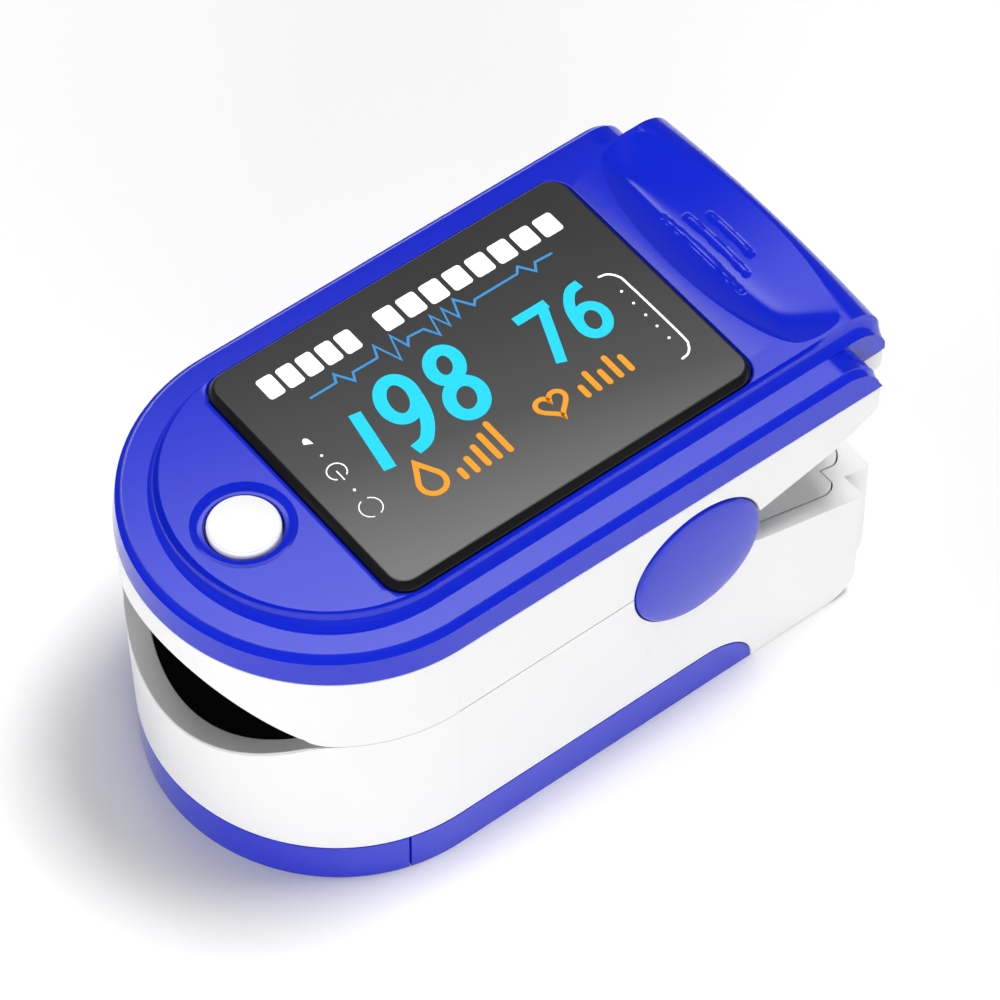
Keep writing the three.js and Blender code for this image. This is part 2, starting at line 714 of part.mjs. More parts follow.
const coverScrews = [[11, 26.2], [-11, 26.2]];
const boardScrews = [[9.5, -21], [-9.5, -21], [9.5, 21.3], [-9.5, 21.3]];

function upperDeck() {
  const rearSlope = shapeOf([
    [hingeBayEndY, 20.1], [16.3, 20.65], [24.4, 22.55], [28.5, 24.85], [29.5, 25.1],
    [29.5, 26.1], [28.2, 25.9], [24.1, 23.65], [16.2, 21.75], [hingeBayEndY + 1, 21.3],
    [hingeBayEndY + 1, 26.15], [hingeBayEndY, 26.15],
  ]);
  const screwSeats = coverScrews.map(([x, y]) => cylinderZ(2.5, x, y, 24.0, 26.2, 18));
  const rearPlate = keep(
    join(prismX(rearSlope, -deckHalfWidth, deckHalfWidth), ...screwSeats),
    skin('upper', deckInset, 0, farAway),
  );
  const solidDeck = join(
    deckFront(1),
    rearPlate,
    hingeLug(1, 1),
    hingeLug(1, -1),
  );
  const lugRoom = [-1, 1].map((hand) => {
    const span = ascending(hand * lugSpan.upper[1], hand * wide);
    return box(...span, pivotY - lugRadius - 0.4, hingeBayEndY + ribThickness, partingZ, 22.4);
  });
  return cut(
    solidDeck,
    pinHole(pivotRadius + 0.06),
    ...lugRoom,
    ...coverScrews.flatMap(([x, y]) => [
      cylinderZ(screwHole.shank, x, y, 20, 30, 12),
      cylinderZ(screwHole.head, x, y, 20, 25.2, 14),
    ]),
  );
}

const pressArea = { halfWidth: 13.0, frontMid: 20.5, frontEdge: 23.2, rearMid: 29.3, rearEdge: 27.5 };

// The hollow that the thumb presses: a steep front and a long shallow rise to the rear
function pressHollow() {
  const outline = new THREE.Shape();
  const { halfWidth, frontMid, frontEdge, rearMid, rearEdge } = pressArea;
  outline.moveTo(-halfWidth, frontEdge);
  outline.quadraticCurveTo(0, 2 * frontMid - frontEdge, halfWidth, frontEdge);
  outline.lineTo(halfWidth, rearEdge);
  outline.quadraticCurveTo(0, 2 * rearMid - rearEdge, -halfWidth, rearEdge);
  const scoop = new THREE.Shape();
  scoop.moveTo(frontMid - 0.5, islandZ + 0.3);
  scoop.quadraticCurveTo(23.2, islandZ - 1.5, 25.2, islandZ - 0.95);
  scoop.lineTo(rearMid + 0.3, islandZ - 0.05);
  scoop.lineTo(rearMid + 0.3, islandZ + 1);
  scoop.lineTo(frontMid - 0.5, islandZ + 1);
  return keep(prismZ(outline, islandZ - 2, islandZ + 1), prismX(scoop, -halfWidth - 1, halfWidth + 1));
}

const coverPlateZ = 30.3; // underside of the cover's top plate
const ledgeHalfWidth = { shoulder: 17.0, top: 16.37 };
const islandHalfWidth = { foot: 14.39, top: 13.78 };
const ledgeRoundingY = 24.8; // the ledge starts to round down to the seam here
const islandRounding = { y: 28.6, z: 28.2 };
const glassSeatZ = 31.2;

// The two steps of the cover, one on the other, before it is hollowed
function coverOutside() {
  const ledge = loft([
    { outline: planOutline(bodyHalfWidth, 0, 'upper', false), z: coverSeamZ - 1 },
    { outline: planOutline(bodyHalfWidth, 0, 'upper', false), z: coverSeamZ },
    { outline: planOutline(ledgeHalfWidth.shoulder, 0, 'upper', false), z: shoulderZ },
    { outline: planOutline(ledgeHalfWidth.top, 0, 'upper', false), z: ledgeZ },
  ]);
  const island = loft([
    { outline: planOutline(islandHalfWidth.foot, 0, 'upper'), z: coverSeamZ - 1 },
    { outline: planOutline(islandHalfWidth.foot, 0, 'upper'), z: ledgeZ },
    { outline: planOutline(islandHalfWidth.top, 0, 'upper'), z: islandZ },
  ]);
  const seam = (y) => seamHeight(y) + gap / 2;
  const sideY = sideEndY.upper;
  const ledgeFoot = seam(sideY);
  const ledgeSide = new THREE.Shape();
  ledgeSide.moveTo(frontY, ledgeZ + 0.01);
  ledgeSide.lineTo(frontY, seam(frontY));
  ledgeSide.absellipse(ledgeRoundingY, ledgeFoot, sideY - ledgeRoundingY, ledgeZ - ledgeFoot, 0, Math.PI / 2);
  const { y, z } = islandRounding;
  const islandSide = new THREE.Shape();
  islandSide.moveTo(frontY, islandZ + 0.01);
  islandSide.lineTo(frontY, seam(frontY));
  islandSide.lineTo(tailEndY.upper, seam(tailEndY.upper));
  islandSide.absellipse(y, z, tailEndY.upper - y, islandZ - z, 0, Math.PI / 2);
  return join(keep(ledge, prismX(ledgeSide, -wide, wide)), keep(island, prismX(islandSide, -wide, wide)));
}

function topCover() {
  const underLedge = prismZ(planOutline(bodyHalfWidth - wall, 2.2, 'upper', false), 20, ledgeZ - wall);
  const underIsland = keep(
    prismZ(planOutline(13.0, 1.6, 'upper'), 20, coverPlateZ),
    prismX(shapeOf([
      [frontY, 20], [29.6, 20], [29.6, islandRounding.z], [28.4, coverPlateZ], [frontY, coverPlateZ],
    ]), -wide, wide),
  );
  const boss = { radius: 1.9, top: coverPlateZ + 0.4 };
  const bosses = join(
    ...boardScrews.map(([x, y]) => cylinderZ(boss.radius, x, y, boardTop + gap, boss.top, 16)),
    ...coverScrews.map(([x, y]) => cylinderZ(boss.radius, x, y, 26.35, boss.top, 16)),
  );
  const screwHoles = [
    ...boardScrews.map(([x, y]) => cylinderZ(screwHole.thread, x, y, 20, 30.2, 12)),
    ...coverScrews.map(([x, y]) => cylinderZ(screwHole.thread, x, y, 20, 29.6, 12)),
  ];
  const rim = 0.45;
  const { halfWidth, y0, y1 } = glass;
  const displayOpening = roundedRectangle(halfWidth - 0.9, y0 + 1, y1 - 1, 1);
  return cut(
    join(cut(coverOutside(), underLedge, underIsland), bosses),
    ...screwHoles,
    prismZ(roundedRectangle(halfWidth + rim, y0 - rim, y1 + rim, 1.8), glassSeatZ, farAway),
    prismZ(displayOpening, coverPlateZ - 1, glassSeatZ + 1),
    cylinderZ(button.radius + gap, 0, button.y, coverPlateZ - 1, farAway, 32),
    cylinderZ(button.dishRadius, 0, button.y, islandZ - 0.35, farAway, 40),
    pressHollow(),
  );
}

function displayWindow() {
  const outline = roundedRectangle(glass.halfWidth, glass.y0, glass.y1, glass.corner);
  const bevel = 0.75;
  const bottom = glassSeatZ + 0.1;
  const geometry = extrude(outline, glassTop - bottom - 2 * bevel, {
    bevelEnabled: true, bevelSize: glass.foot, bevelThickness: bevel, bevelSegments: 1,
  });
  const block = solid(geometry.translate(0, 0, bottom + bevel));
  return keep(block, box(-farAway, farAway, -farAway, farAway, glassSeatZ + gap, farAway));
}

function circuitBoard() {
  const outline = roundedRectangle(12.6, -26.3, 24.0, 3);
  return cut(
    keep(prismZ(outline, boardZ, boardTop), skin('upper', 3.2, 20, farAway)),
    ...boardScrews.map(([x, y]) => cylinderZ(screwHole.shank, x, y, 20, 30, 12)),
  );
}

function powerButton() {
  const flange = { radius: 3.9, z0: 29.95, z1: 30.15 };
  const { radius } = button;
  const crownZ = glassTop - 0.02;
  const profile = [
    [0, flange.z0], [flange.radius, flange.z0], [flange.radius, flange.z1], [radius, flange.z1],
    [radius, crownZ - 0.57], [radius - 0.15, crownZ - 0.37], [2.3, crownZ - 0.15], [1.2, crownZ - 0.03],
    [0, crownZ],
  ];
  return solid(lathe(profile, 32).translate(0, button.y, 0));
}

piece('upper_shell', upperShell(), finish.white());
piece('upper_deck', upperDeck(), finish.white());
piece('upper_lip', lipTrim(1, lipSetBack.upper), finish.grey());
piece('upper_finger_pad', fingerPad(1), finish.black());
piece('emitter_window', sensorWindow(1), finish.lens());
piece('light_emitter', box(-1.6, 1.6, sensorY - 1.3, sensorY + 1.3, 25.5, boardZ - gap), finish.lens());
piece('top_cover', topCover(), finish.blue());
piece('display_window', displayWindow(), finish.glass());
piece('display_module', prismZ(roundedRectangle(11.4, -15.4, 17.0, 0.6), 28.6, 30.9), finish.screen());
piece('display_ribbon', prismX(shapeOf([
  [17.15, 29.9], [18.6, 29.7], [18.9, 29.2], [18.6, 28.4], [15.5, 28.05],
  [15.5, 28.25], [18.3, 28.6], [18.55, 29.2], [18.3, 29.5], [17.15, 29.65],
]), -4, 4), finish.ribbon());
piece('circuit_board', circuitBoard(), finish.board());
piece('processor_chip', box(-3.5, 3.5, 0.5, 7.5, boardZ - 0.62, boardZ - 0.05), finish.chip());
piece('amplifier_chip', box(5.2, 9.2, -6, -1, boardZ - 1.1, boardZ - 0.05), finish.chip());
piece('power_chip', box(-9.2, -5.8, -4.5, -1.5, boardZ - 1.1, boardZ - 0.05), finish.chip());
piece('tact_switch', join(
  box(-2.25, 2.25, button.y - 2.25, button.y + 2.25, boardTop + 0.05, 29.0),
  cylinderZ(0.9, 0, button.y, 28.9, 29.4, 14),
), finish.steel());
boardScrews.forEach(([x, y], i) => {
  piece(`board_screw_${i + 1}`, screw(x, y, boardZ - 0.85, 3.9), finish.steel());
});
coverScrews.forEach(([x, y], i) => {
  piece(`cover_screw_${i + 1}`, screw(x, y, 24.35, 5), finish.steel());
});

// ---------- power button ----------

piece('power_button', powerButton(), finish.white());

export default oximeter;
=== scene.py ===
"""Fingertip pulse oximeter: the visible surfaces, materials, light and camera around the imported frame."""

from math import acos, atan2, copysign, cos, pi, radians, sin, sqrt, tan

import bmesh
import bpy
import numpy as np
from mathutils import Matrix, Vector


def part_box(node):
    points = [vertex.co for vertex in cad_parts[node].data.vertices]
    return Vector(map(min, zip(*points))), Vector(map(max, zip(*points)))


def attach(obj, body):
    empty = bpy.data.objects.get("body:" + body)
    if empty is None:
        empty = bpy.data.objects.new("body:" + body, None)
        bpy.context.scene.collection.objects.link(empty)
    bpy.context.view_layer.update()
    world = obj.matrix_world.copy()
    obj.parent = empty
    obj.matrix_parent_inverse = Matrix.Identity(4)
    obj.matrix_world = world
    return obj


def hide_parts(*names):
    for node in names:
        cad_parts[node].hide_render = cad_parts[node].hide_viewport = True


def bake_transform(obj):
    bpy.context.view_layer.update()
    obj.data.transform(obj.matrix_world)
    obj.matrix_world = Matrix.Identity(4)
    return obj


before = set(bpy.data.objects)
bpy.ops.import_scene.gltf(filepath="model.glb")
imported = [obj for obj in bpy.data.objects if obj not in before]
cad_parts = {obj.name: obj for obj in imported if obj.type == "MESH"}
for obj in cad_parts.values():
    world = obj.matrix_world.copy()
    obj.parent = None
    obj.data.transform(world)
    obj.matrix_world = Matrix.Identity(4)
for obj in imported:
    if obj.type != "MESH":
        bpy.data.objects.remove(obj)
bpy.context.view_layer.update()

MM = 0.001
scene = bpy.context.scene


def span(node):
    """A CAD node's lowest and highest corners, in millimetres."""
    low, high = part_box(node)
    return np.array(low) / MM, np.array(high) / MM


# ---------- driving dimensions, in millimetres ----------

COVER_LOW, COVER_HIGH = span("top_cover")
GLASS_LOW, GLASS_HIGH = span("display_window")
BUTTON_LOW, BUTTON_HIGH = span("power_button")
CAP_LOW, CAP_HIGH = span("pivot_cap_right")
PIN_LOW, PIN_HIGH = span("hinge_pin")
LOWER_HIGH = span("lower_shell")[1]

BODY_HALF = COVER_HIGH[0]          # at the seam between the white jaw and the blue cover
BASE_HALF = BODY_HALF - 0.5        # at the surface that it stands on
NOSE_FLAT = 0.42                   # the nose is this much shorter than a half circle
NOSE_Y = COVER_LOW[1] + BODY_HALF - NOSE_FLAT
PIVOT_Y = (PIN_LOW[1] + PIN_HIGH[1]) / 2
PARTING_Z = (PIN_LOW[2] + PIN_HIGH[2]) / 2
HINGE = (0, PIVOT_Y, PARTING_Z)
CAP_RADIUS = (CAP_HIGH[2] - CAP_LOW[2]) / 2
SEAM_Z = 27.8
SEAM_DROP = 0.6                    # the seam is this much lower at the tail
LEDGE_Z = 30.57
ISLAND_Z = COVER_HIGH[2]
ISLAND_HALF = 14.39
TAIL_END = {"lower": LOWER_HIGH[1], "upper": COVER_HIGH[1]}
TAIL_CORNER = {"lower": LOWER_HIGH[1] - 0.25, "upper": COVER_HIGH[1] - 0.12}
SIDE_END = {"lower": 27.8, "upper": 28.5}
TAIL_HALF = 14.4
PLAN_ROUND = 0.45                  # at the tail's corners, seen from above
TAIL_ROUND = 3.2                   # at the lower tail's edge, seen from the side
WALL = 1.4
GAP = 0.12
JAW_GAP = 0.06
DOOR_TOP = 4.3
LIP_RISE = 5.125
LIP_CURVE = 0.0325
LIP_END = 13.4                     # the lips run into the parting line here
LIP_EDGE = 0.3
LIP_DEPTH = 1.9
PAD_THICK = 1.0
DECK_THICK = 1.9
DECK_HALF = 15.4
STOP_Y = 5.9
BAY_END = 13.4
FAR = 60.0
SOFTENING = (1.0, 0.6, 0.35, 0.2, 0.1)   # shares of a rounding's width, tried until its faces fill cleanly
LARGEST_OVERLAP = 0.6
WEDGE = {
    "lower": [(PIVOT_Y, PARTING_Z - JAW_GAP / 2), (16.5, 16.3), (27.8, 12.9)],
    "upper": [(PIVOT_Y, PARTING_Z + JAW_GAP / 2), (16.3, 20.5), (24.4, 22.4), (28.5, 24.7)],
}


# ---------- mesh code ----------

def linked(name, data):
    """A new object in the scene."""
    obj = bpy.data.objects.new(name, data)
    scene.collection.objects.link(obj)
    return obj


def mesh_object(points, faces):
    mesh = bpy.data.meshes.new("part")
    mesh.from_pydata(np.asarray(points, float).tolist(), [], faces)
    work = bmesh.new()
    work.from_mesh(mesh)
    bmesh.ops.remove_doubles(work, verts=work.verts, dist=1e-4)
    bmesh.ops.dissolve_degenerate(work, edges=work.edges, dist=1e-5)
    bmesh.ops.recalc_face_normals(work, faces=work.faces)
    work.to_mesh(mesh)
    work.free()
    return linked("part", mesh)


def loft(sections, closed=False):
    """A solid through sections of equal length. A closed one joins its last section to its first."""
    sections = [np.asarray(s, float) for s in sections]
    rings, count = len(sections), len(sections[0])
    faces = []
    for k in range(rings if closed else rings - 1):
        a, b = k * count, (k + 1) % rings * count
        faces += [(a + i, a + (i + 1) % count, b + (i + 1) % count, b + i) for i in range(count)]
    if not closed:
        last = (rings - 1) * count
        faces += [tuple(reversed(range(count))), tuple(range(last, last + count))]
    return mesh_object(np.concatenate(sections), faces)


def level(points, z):
    """A flat outline lifted to a height, which may vary along it."""
    points = np.asarray(points, float)
    return np.column_stack([points, np.broadcast_to(z, len(points))])


def prism(points, axis="X", low=-FAR, high=FAR):
    """An outline run along an axis. The outline is in (y, z) for X, (x, z) for Y and (x, y) for Z."""
    order = {"X": (2, 0, 1), "Y": (0, 2, 1), "Z": (0, 1, 2)}[axis]
    return loft([level(points, value)[:, order] for value in (low, high)])


def block(x0, x1, y0, y1, z0, z1):
    return prism([(x0, y0), (x1, y0), (x1, y1), (x0, y1)], "Z", z0, z1)


def pair(inner, outer, *rest):
    """A block on each side of the middle, the left one first."""
    return [block(*sorted((hand * inner, hand * outer)), *rest) for hand in (-1, 1)]


def full_width(y0, y1, z0, z1):
    return block(-FAR, FAR, y0, y1, z0, z1)


def lathe(profile, centre, axis="Z", steps=96):
    """A solid turned about an axis through centre, from (radius, height) points that start and end on it."""
    turns = np.linspace(0, 2 * pi, steps, endpoint=False)
    sections = np.array([[(r * cos(a), r * sin(a), h) for r, h in profile] for a in turns])
    order = {"X": (2, 0, 1), "Y": (1, 2, 0), "Z": (0, 1, 2)}[axis]
    points = sections[:, :, order].reshape(-1, 3) + np.asarray(centre, float)
    count = len(profile)
    faces = []
    for k in range(steps):
        a, b = k * count, (k + 1) % steps * count
        faces += [(a + i, a + i + 1, b + i + 1, b + i) for i in range(count - 1)]
    return mesh_object(points, faces)


def cylinder(radius, low, high, steps, centre=HINGE, axis="X"):
    """A cylinder, round the hinge's axis unless told otherwise."""
    return lathe([(0, low), (radius, low), (radius, high), (0, high)], centre, axis, steps)


def post(radius, x, y, low, high, steps):
    """An upright cylinder."""
    return cylinder(radius, low, high, steps, (x, y, 0), "Z")


def arc(cx, cy, rx, ry, start, end, steps):
    """Points on an ellipse between two angles in degrees."""
    angles = np.radians(np.linspace(start, end, steps + 1))
    return [(cx + rx * cos(a), cy + ry * sin(a)) for a in angles]


def rounded(corners, steps=8):
    """An outline with its corners, given as (x, y, radius), rounded off."""
    points = []
    for i, (x, y, radius) in enumerate(corners):
        p = np.array([x, y], float)
        if radius <= 0:
            points.append(p)
            continue
        u = np.array(corners[i - 1][:2], float) - p
        v = np.array(corners[(i + 1) % len(corners)][:2], float) - p
        u /= np.linalg.norm(u)
        v /= np.linalg.norm(v)
        half = 0.5 * acos(np.clip(u @ v, -1, 1))
        centre = p + (u + v) / np.linalg.norm(u + v) * radius / sin(half)
        first = p + u * radius / tan(half) - centre
        last = p + v * radius / tan(half) - centre
        a0 = atan2(first[1], first[0])
        turn = (atan2(last[1], last[0]) - a0 + pi) % (2 * pi) - pi
        for k in range(steps + 1):
            a = a0 + turn * k / steps
            points.append(centre + radius * np.array([cos(a), sin(a)]))
    return np.array(points)


def rounded_rectangle(half, y0, y1, radius, steps=10):
    corners = [(half, y0, radius), (half, y1, radius), (-half, y1, radius), (-half, y0, radius)]
    return rounded(corners, steps)


def boolean(obj, tools, operation):
    for tool in tools:
        modifier = obj.modifiers.new("boolean", "BOOLEAN")
        modifier.object = tool
        modifier.operation = operation
        modifier.solver = "MANIFOLD"
        applied(obj)
        bpy.data.objects.remove(tool)
    return obj


def applied(obj):
    """Replaces a piece's mesh with what its modifiers make of it."""
    graph = bpy.context.evaluated_depsgraph_get()
    mesh = bpy.data.meshes.new_from_object(obj.evaluated_get(graph), depsgraph=graph)
    obj.modifiers.clear()
    obj.data = mesh
    return obj


def cut(obj, *tools):
    return boolean(obj, tools, "DIFFERENCE")


def join(obj, *tools):
    return boolean(obj, tools, "UNION")


def keep(obj, *tools):
    return boolean(obj, tools, "INTERSECT")


def places(obj):
    """The piece's corners as an array."""
    values = np.empty(len(obj.data.vertices) * 3)
    obj.data.vertices.foreach_get("co", values)
    return values.reshape(-1, 3)


def overlap(obj):
    """How far the worst face's filling covers itself, in square millimetres."""
    mesh = obj.data
    mesh.calc_loop_triangles()
    filled = np.zeros(len(mesh.polygons))
    for triangle in mesh.loop_triangles:
        filled[triangle.polygon_index] += triangle.area
    return float(np.max(filled - [polygon.area for polygon in mesh.polygons]))


def at_mouth_end(point):
    """The thin ends of the mouth's edges, which stay sharp."""
    return abs(point.x) > LIP_END - 1.3 and abs(point.z - PARTING_Z) < 0.8 and point.y < NOSE_Y + 1.5


def soften(obj, width=0.1, angle=38, segments=2, spare=None):
    """Rounds a piece's sharp edges, except where spare says otherwise."""
    work = bmesh.new()
    work.from_mesh(obj.data)
    bmesh.ops.remove_doubles(work, verts=work.verts, dist=0.012)
    bmesh.ops.dissolve_degenerate(work, edges=work.edges, dist=0.01)
    weights = work.edges.layers.float.new("bevel_weight_edge")
    for edge in work.edges:
        sharp = len(edge.link_faces) == 2 and edge.calc_face_angle() > radians(angle)
        spared = spare is not None and spare((edge.verts[0].co + edge.verts[1].co) / 2)
        edge[weights] = 1.0 if sharp and not spared else 0.0
    work.to_mesh(obj.data)
    work.free()
    sharp_mesh = obj.data
    before = places(obj)
    for share in SOFTENING:
        obj.data = sharp_mesh.copy()
        bevel = obj.modifiers.new("bevel", "BEVEL")
        bevel.width = width * share
        bevel.segments = segments
        bevel.limit_method = "WEIGHT"
        bevel.use_clamp_overlap = False
        applied(obj)
        kept = np.clip(places(obj), before.min(axis=0), before.max(axis=0))
        obj.data.vertices.foreach_set("co", kept.ravel())
        obj.data.update()
        if overlap(obj) < LARGEST_OVERLAP:
            break
    return obj


def finished(obj, name, body, material, replaces=(), angle=28):
    """Turns a piece from millimetres into metres, smooths its shading and places it in the frame."""
    obj.name = name
    obj.data.name = name
    obj.data.transform(Matrix.Scale(MM, 4))
    obj.data.polygons.foreach_set("use_smooth", [True] * len(obj.data.polygons))
    obj.data.set_sharp_from_angle(angle=radians(angle))
    weighted = obj.modifiers.new("weighted", "WEIGHTED_NORMAL")
    weighted.keep_sharp = True
    applied(obj)
    obj.data.materials.clear()
    obj.data.materials.append(material)
    if body:
        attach(obj, body)
    if replaces:
        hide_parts(*replaces)
    return obj


# ---------- materials ----------

def new_material(name):
    material = bpy.data.materials.new(name)
    material.use_nodes = True
    tree = material.node_tree
    shader = tree.nodes["Principled BSDF"]
    place = tree.nodes.new("ShaderNodeTexCoord")
    return material, tree, shader, place.outputs["Object"]


def feed(tree, node, inputs):
    """Gives each of a node's sockets a constant, or a link from another node's output."""
    for name, source in inputs.items():
        if isinstance(source, bpy.types.NodeSocket):
            tree.links.new(source, node.inputs[name])
        else:
            node.inputs[name].default_value = source


def add(tree, kind, inputs, operation=None):
    """A new shader node with its sockets fed."""
    node = tree.nodes.new("ShaderNode" + kind)
    if operation:
        node.operation = operation
    feed(tree, node, inputs)
    return node


def noise(tree, place, scale, detail=3.0, roughness=0.5):
    sockets = {"Vector": place, "Scale": scale, "Detail": detail, "Roughness": roughness}
    return add(tree, "TexNoise", sockets).outputs["Fac"]


def ramp(tree, factor, stops):
    node = add(tree, "ValToRGB", {"Fac": factor})
    while len(node.color_ramp.elements) < len(stops):
        node.color_ramp.elements.new(0.5)
    for element, (position, colour) in zip(node.color_ramp.elements, stops):
        element.position = position
        element.color = (*colour, 1)
    return node.outputs["Color"]


def to_range(tree, factor, low, high, start=0, end=1):
    sockets = {"Value": factor, "From Min": start, "From Max": end, "To Min": low, "To Max": high}
    return add(tree, "MapRange", sockets).outputs["Result"]


def bump(tree, height, strength, distance):
    return add(tree, "Bump", {"Height": height, "Strength": strength, "Distance": distance}).outputs["Normal"]


def moulded(name, dark, light, rough, grain=2600, strength=0.05, patch=90, coat=0.0, specular=0.5):
    """Moulded plastic: a slow drift of colour and gloss, and a fine moulding grain."""
    material, tree, shader, place = new_material(name)
    slow = noise(tree, place, patch, 2.0)
    feed(tree, shader, {
        "Base Color": ramp(tree, slow, [(0.3, dark), (0.7, light)]),
        "Roughness": to_range(tree, slow, *rough),
        "Normal": bump(tree, noise(tree, place, grain, 4.0), strength, 0.00003),
        "Specular IOR Level": specular,
        "Coat Weight": coat,
        "Coat Roughness": 0.04,
    })
    return material


def brushed(name, dark, light, stretch, rough):
    """Drawn or turned metal, with fine lines along one axis."""
    material, tree, shader, place = new_material(name)
    stretched = add(tree, "Mapping", {"Vector": place, "Scale": stretch}).outputs["Vector"]
    lines = noise(tree, stretched, 900, 5.0, 0.6)
    feed(tree, shader, {
        "Base Color": ramp(tree, lines, [(0.25, dark), (0.75, light)]),
        "Roughness": to_range(tree, lines, *rough),
        "Normal": bump(tree, lines, 0.08, 0.00002),
        "Metallic": 1.0,
    })
    return material


def smoked_glass():
    """The display's smoked window. Its colour is painted paler towards the near right corner, as a painted
    reflection.
    """
    material, tree, shader, place = new_material("smoked_window")
    along = add(tree, "VectorMath", {0: place, 1: (29.4, -9.3, 0)}, "DOT_PRODUCT").outputs["Value"]
    towards_reflection = to_range(tree, along, 0, 1, -0.55, 0.55)
    # The pale end of this ramp is a painted reflection, brighter towards the near right corner.
    dark, middle, painted_reflection = (0.036, 0.036, 0.037), (0.032, 0.032, 0.032), (0.116, 0.116, 0.117)
    feed(tree, shader, {
        "Base Color": ramp(tree, towards_reflection, [(0.0, dark), (0.62, middle), (1.0, painted_reflection)]),
        "Roughness": to_range(tree, noise(tree, place, 160), 0.05, 0.10),
    })
    return material


def lit(name, colour, glow):
    """A lit or printed mark on the display, with a faint pixel grid."""
    material, tree, shader, place = new_material(name)
    grid = add(tree, "TexVoronoi", {"Vector": place, "Scale": 5200}).outputs["Distance"]
    shade = ramp(tree, grid, [(0.2, colour), (0.8, tuple(c * 0.9 for c in colour))])
    sockets = {"Base Color": shade, "Emission Color": shade, "Emission Strength": glow, "Roughness": 0.35}
    feed(tree, shader, sockets)
    return material


def clear_lens(name, tint):
    material, tree, shader, place = new_material(name)
    slow = noise(tree, place, 200, 2.0)
    light = tuple(min(1.0, c * 1.1) for c in tint)
    feed(tree, shader, {
        "Base Color": ramp(tree, slow, [(0.3, tint), (0.7, light)]),
        "Roughness": to_range(tree, slow, 0.04, 0.1),
        "Coat Weight": 0.5,
    })
    return material


BLUE = moulded("blue_gloss", (0.0042, 0.017, 0.560), (0.0046, 0.018, 0.575), (0.08, 0.10), coat=0.2)
WHITE = moulded("white_gloss", (0.840, 0.840, 0.843), (0.850, 0.850, 0.850), (0.26, 0.30), patch=40)
# The button's white is a lighter copy of the shells' white plastic: painted light that makes the button read
# brighter.
LIGHTENED_WHITE = moulded("button_white_painted_light", (0.88, 0.88, 0.885), (0.92, 0.92, 0.92), (0.18, 0.24))
SATIN = moulded("white_satin", (0.85, 0.85, 0.853), (0.88, 0.88, 0.88), (0.42, 0.5), grain=3600, strength=0.12)
GREY = moulded("grey_satin", (0.62, 0.62, 0.625), (0.66, 0.66, 0.662), (0.45, 0.55), grain=3200, strength=0.12)
# The finger pads' near-black colour is painted shade, standing in for the dark inside of the mouth.
SILICONE_PAINTED_SHADE = moulded("silicone_painted_shade", (0.0022, 0.0022, 0.0024), (0.004, 0.004, 0.0042), (0.75, 0.85),
                   grain=4200, strength=0.25, specular=0.08)
BEZEL = moulded("window_edge", (0.006, 0.006, 0.006), (0.010, 0.010, 0.010), (0.22, 0.28), specular=0.3)
SMOKED = smoked_glass()
LENS = clear_lens("sensor_lens", (0.55, 0.6, 0.66))
PANEL = moulded("display_panel", (0.012, 0.016, 0.02), (0.02, 0.026, 0.03), (0.15, 0.22), coat=0.5)
BOARD = moulded("solder_mask", (0.01, 0.16, 0.055), (0.02, 0.22, 0.08), (0.28, 0.36), grain=1500, strength=0.2)
EPOXY = moulded("chip_epoxy", (0.012, 0.012, 0.013), (0.02, 0.02, 0.021), (0.5, 0.6), grain=5200, strength=0.3)
STEEL = brushed("bright_steel", (0.42, 0.43, 0.45), (0.62, 0.63, 0.65), (1, 6, 1), (0.18, 0.32))
NICKEL = brushed("nickel_strip", (0.52, 0.49, 0.44), (0.72, 0.69, 0.63), (1, 1, 6), (0.15, 0.28))
FOIL = moulded("ribbon_film", (0.36, 0.22, 0.06), (0.46, 0.29, 0.09), (0.35, 0.45), grain=1800, strength=0.1)
CYAN = lit("lit_cyan", (0.003, 0.50, 0.70), 0.45)
ORANGE = lit("lit_orange", (0.66, 0.26, 0.008), 0.42)
TRACE = lit("lit_trace", (0.03, 0.22, 0.50), 0.4)
PRINT = lit("white_print", (0.90, 0.90, 0.90), 0.4)


# ---------- shapes shared by the two jaws ----------

def skin_half(z):
    return BASE_HALF + (BODY_HALF - BASE_HALF) * min(z / SEAM_Z, 1)


def bowed_tail(half, corner_y, tail_y, steps):
    """The tail's edge from right to left, which bows out in the middle."""
    shares = np.linspace(0, 1, steps + 1)
    return [(half * (1 - 2 * t), corner_y + (tail_y - corner_y) * 4 * t * (1 - t)) for t in shares]


def plan(half, inset, jaw, stepped=True):
    """A jaw's outline seen from above, anticlockwise from the right end of the nose."""
    side_y = SIDE_END[jaw] - inset
    tail_x = min(TAIL_HALF - inset, half)
    corner_y = TAIL_CORNER[jaw] - inset
    corners = [(half, NOSE_Y, 0), (half, side_y, PLAN_ROUND)]
    if stepped:
        bow = bowed_tail(tail_x, corner_y, TAIL_END[jaw] - inset, 12)[1:-1]
        corners += [(tail_x, side_y, 0.2), (tail_x, corner_y, PLAN_ROUND), *[(x, y, 0) for x, y in bow]]
        corners += [(-tail_x, corner_y, PLAN_ROUND), (-tail_x, side_y, 0.2)]
    corners += [(-half, side_y, PLAN_ROUND), (-half, NOSE_Y, 0)]
    nose = arc(0, NOSE_Y, half, half - NOSE_FLAT, 180, 360, 96)[1:-1]
    return np.concatenate([rounded(corners, 6), nose])


def skin(jaw, inset, z0, z1, stepped=True):
    """A jaw's outside, or a surface inset from it, between two heights."""
    return loft([level(plan(skin_half(z) - inset, inset, jaw, stepped), z) for z in (z0, z1)])


def lip_rise(x):
    """Distance from the parting height to a lip, easing out at the corners of the mouth."""
    a = LIP_RISE - LIP_CURVE * np.asarray(x, float) ** 2
    return 0.5 * (a + np.sqrt(a * a + 0.3))


def nose_y(x, z, inset):
    half = skin_half(z) - inset
    return NOSE_Y - np.sqrt(np.maximum(1 - (x / half) ** 2, 0)) * (half - NOSE_FLAT)


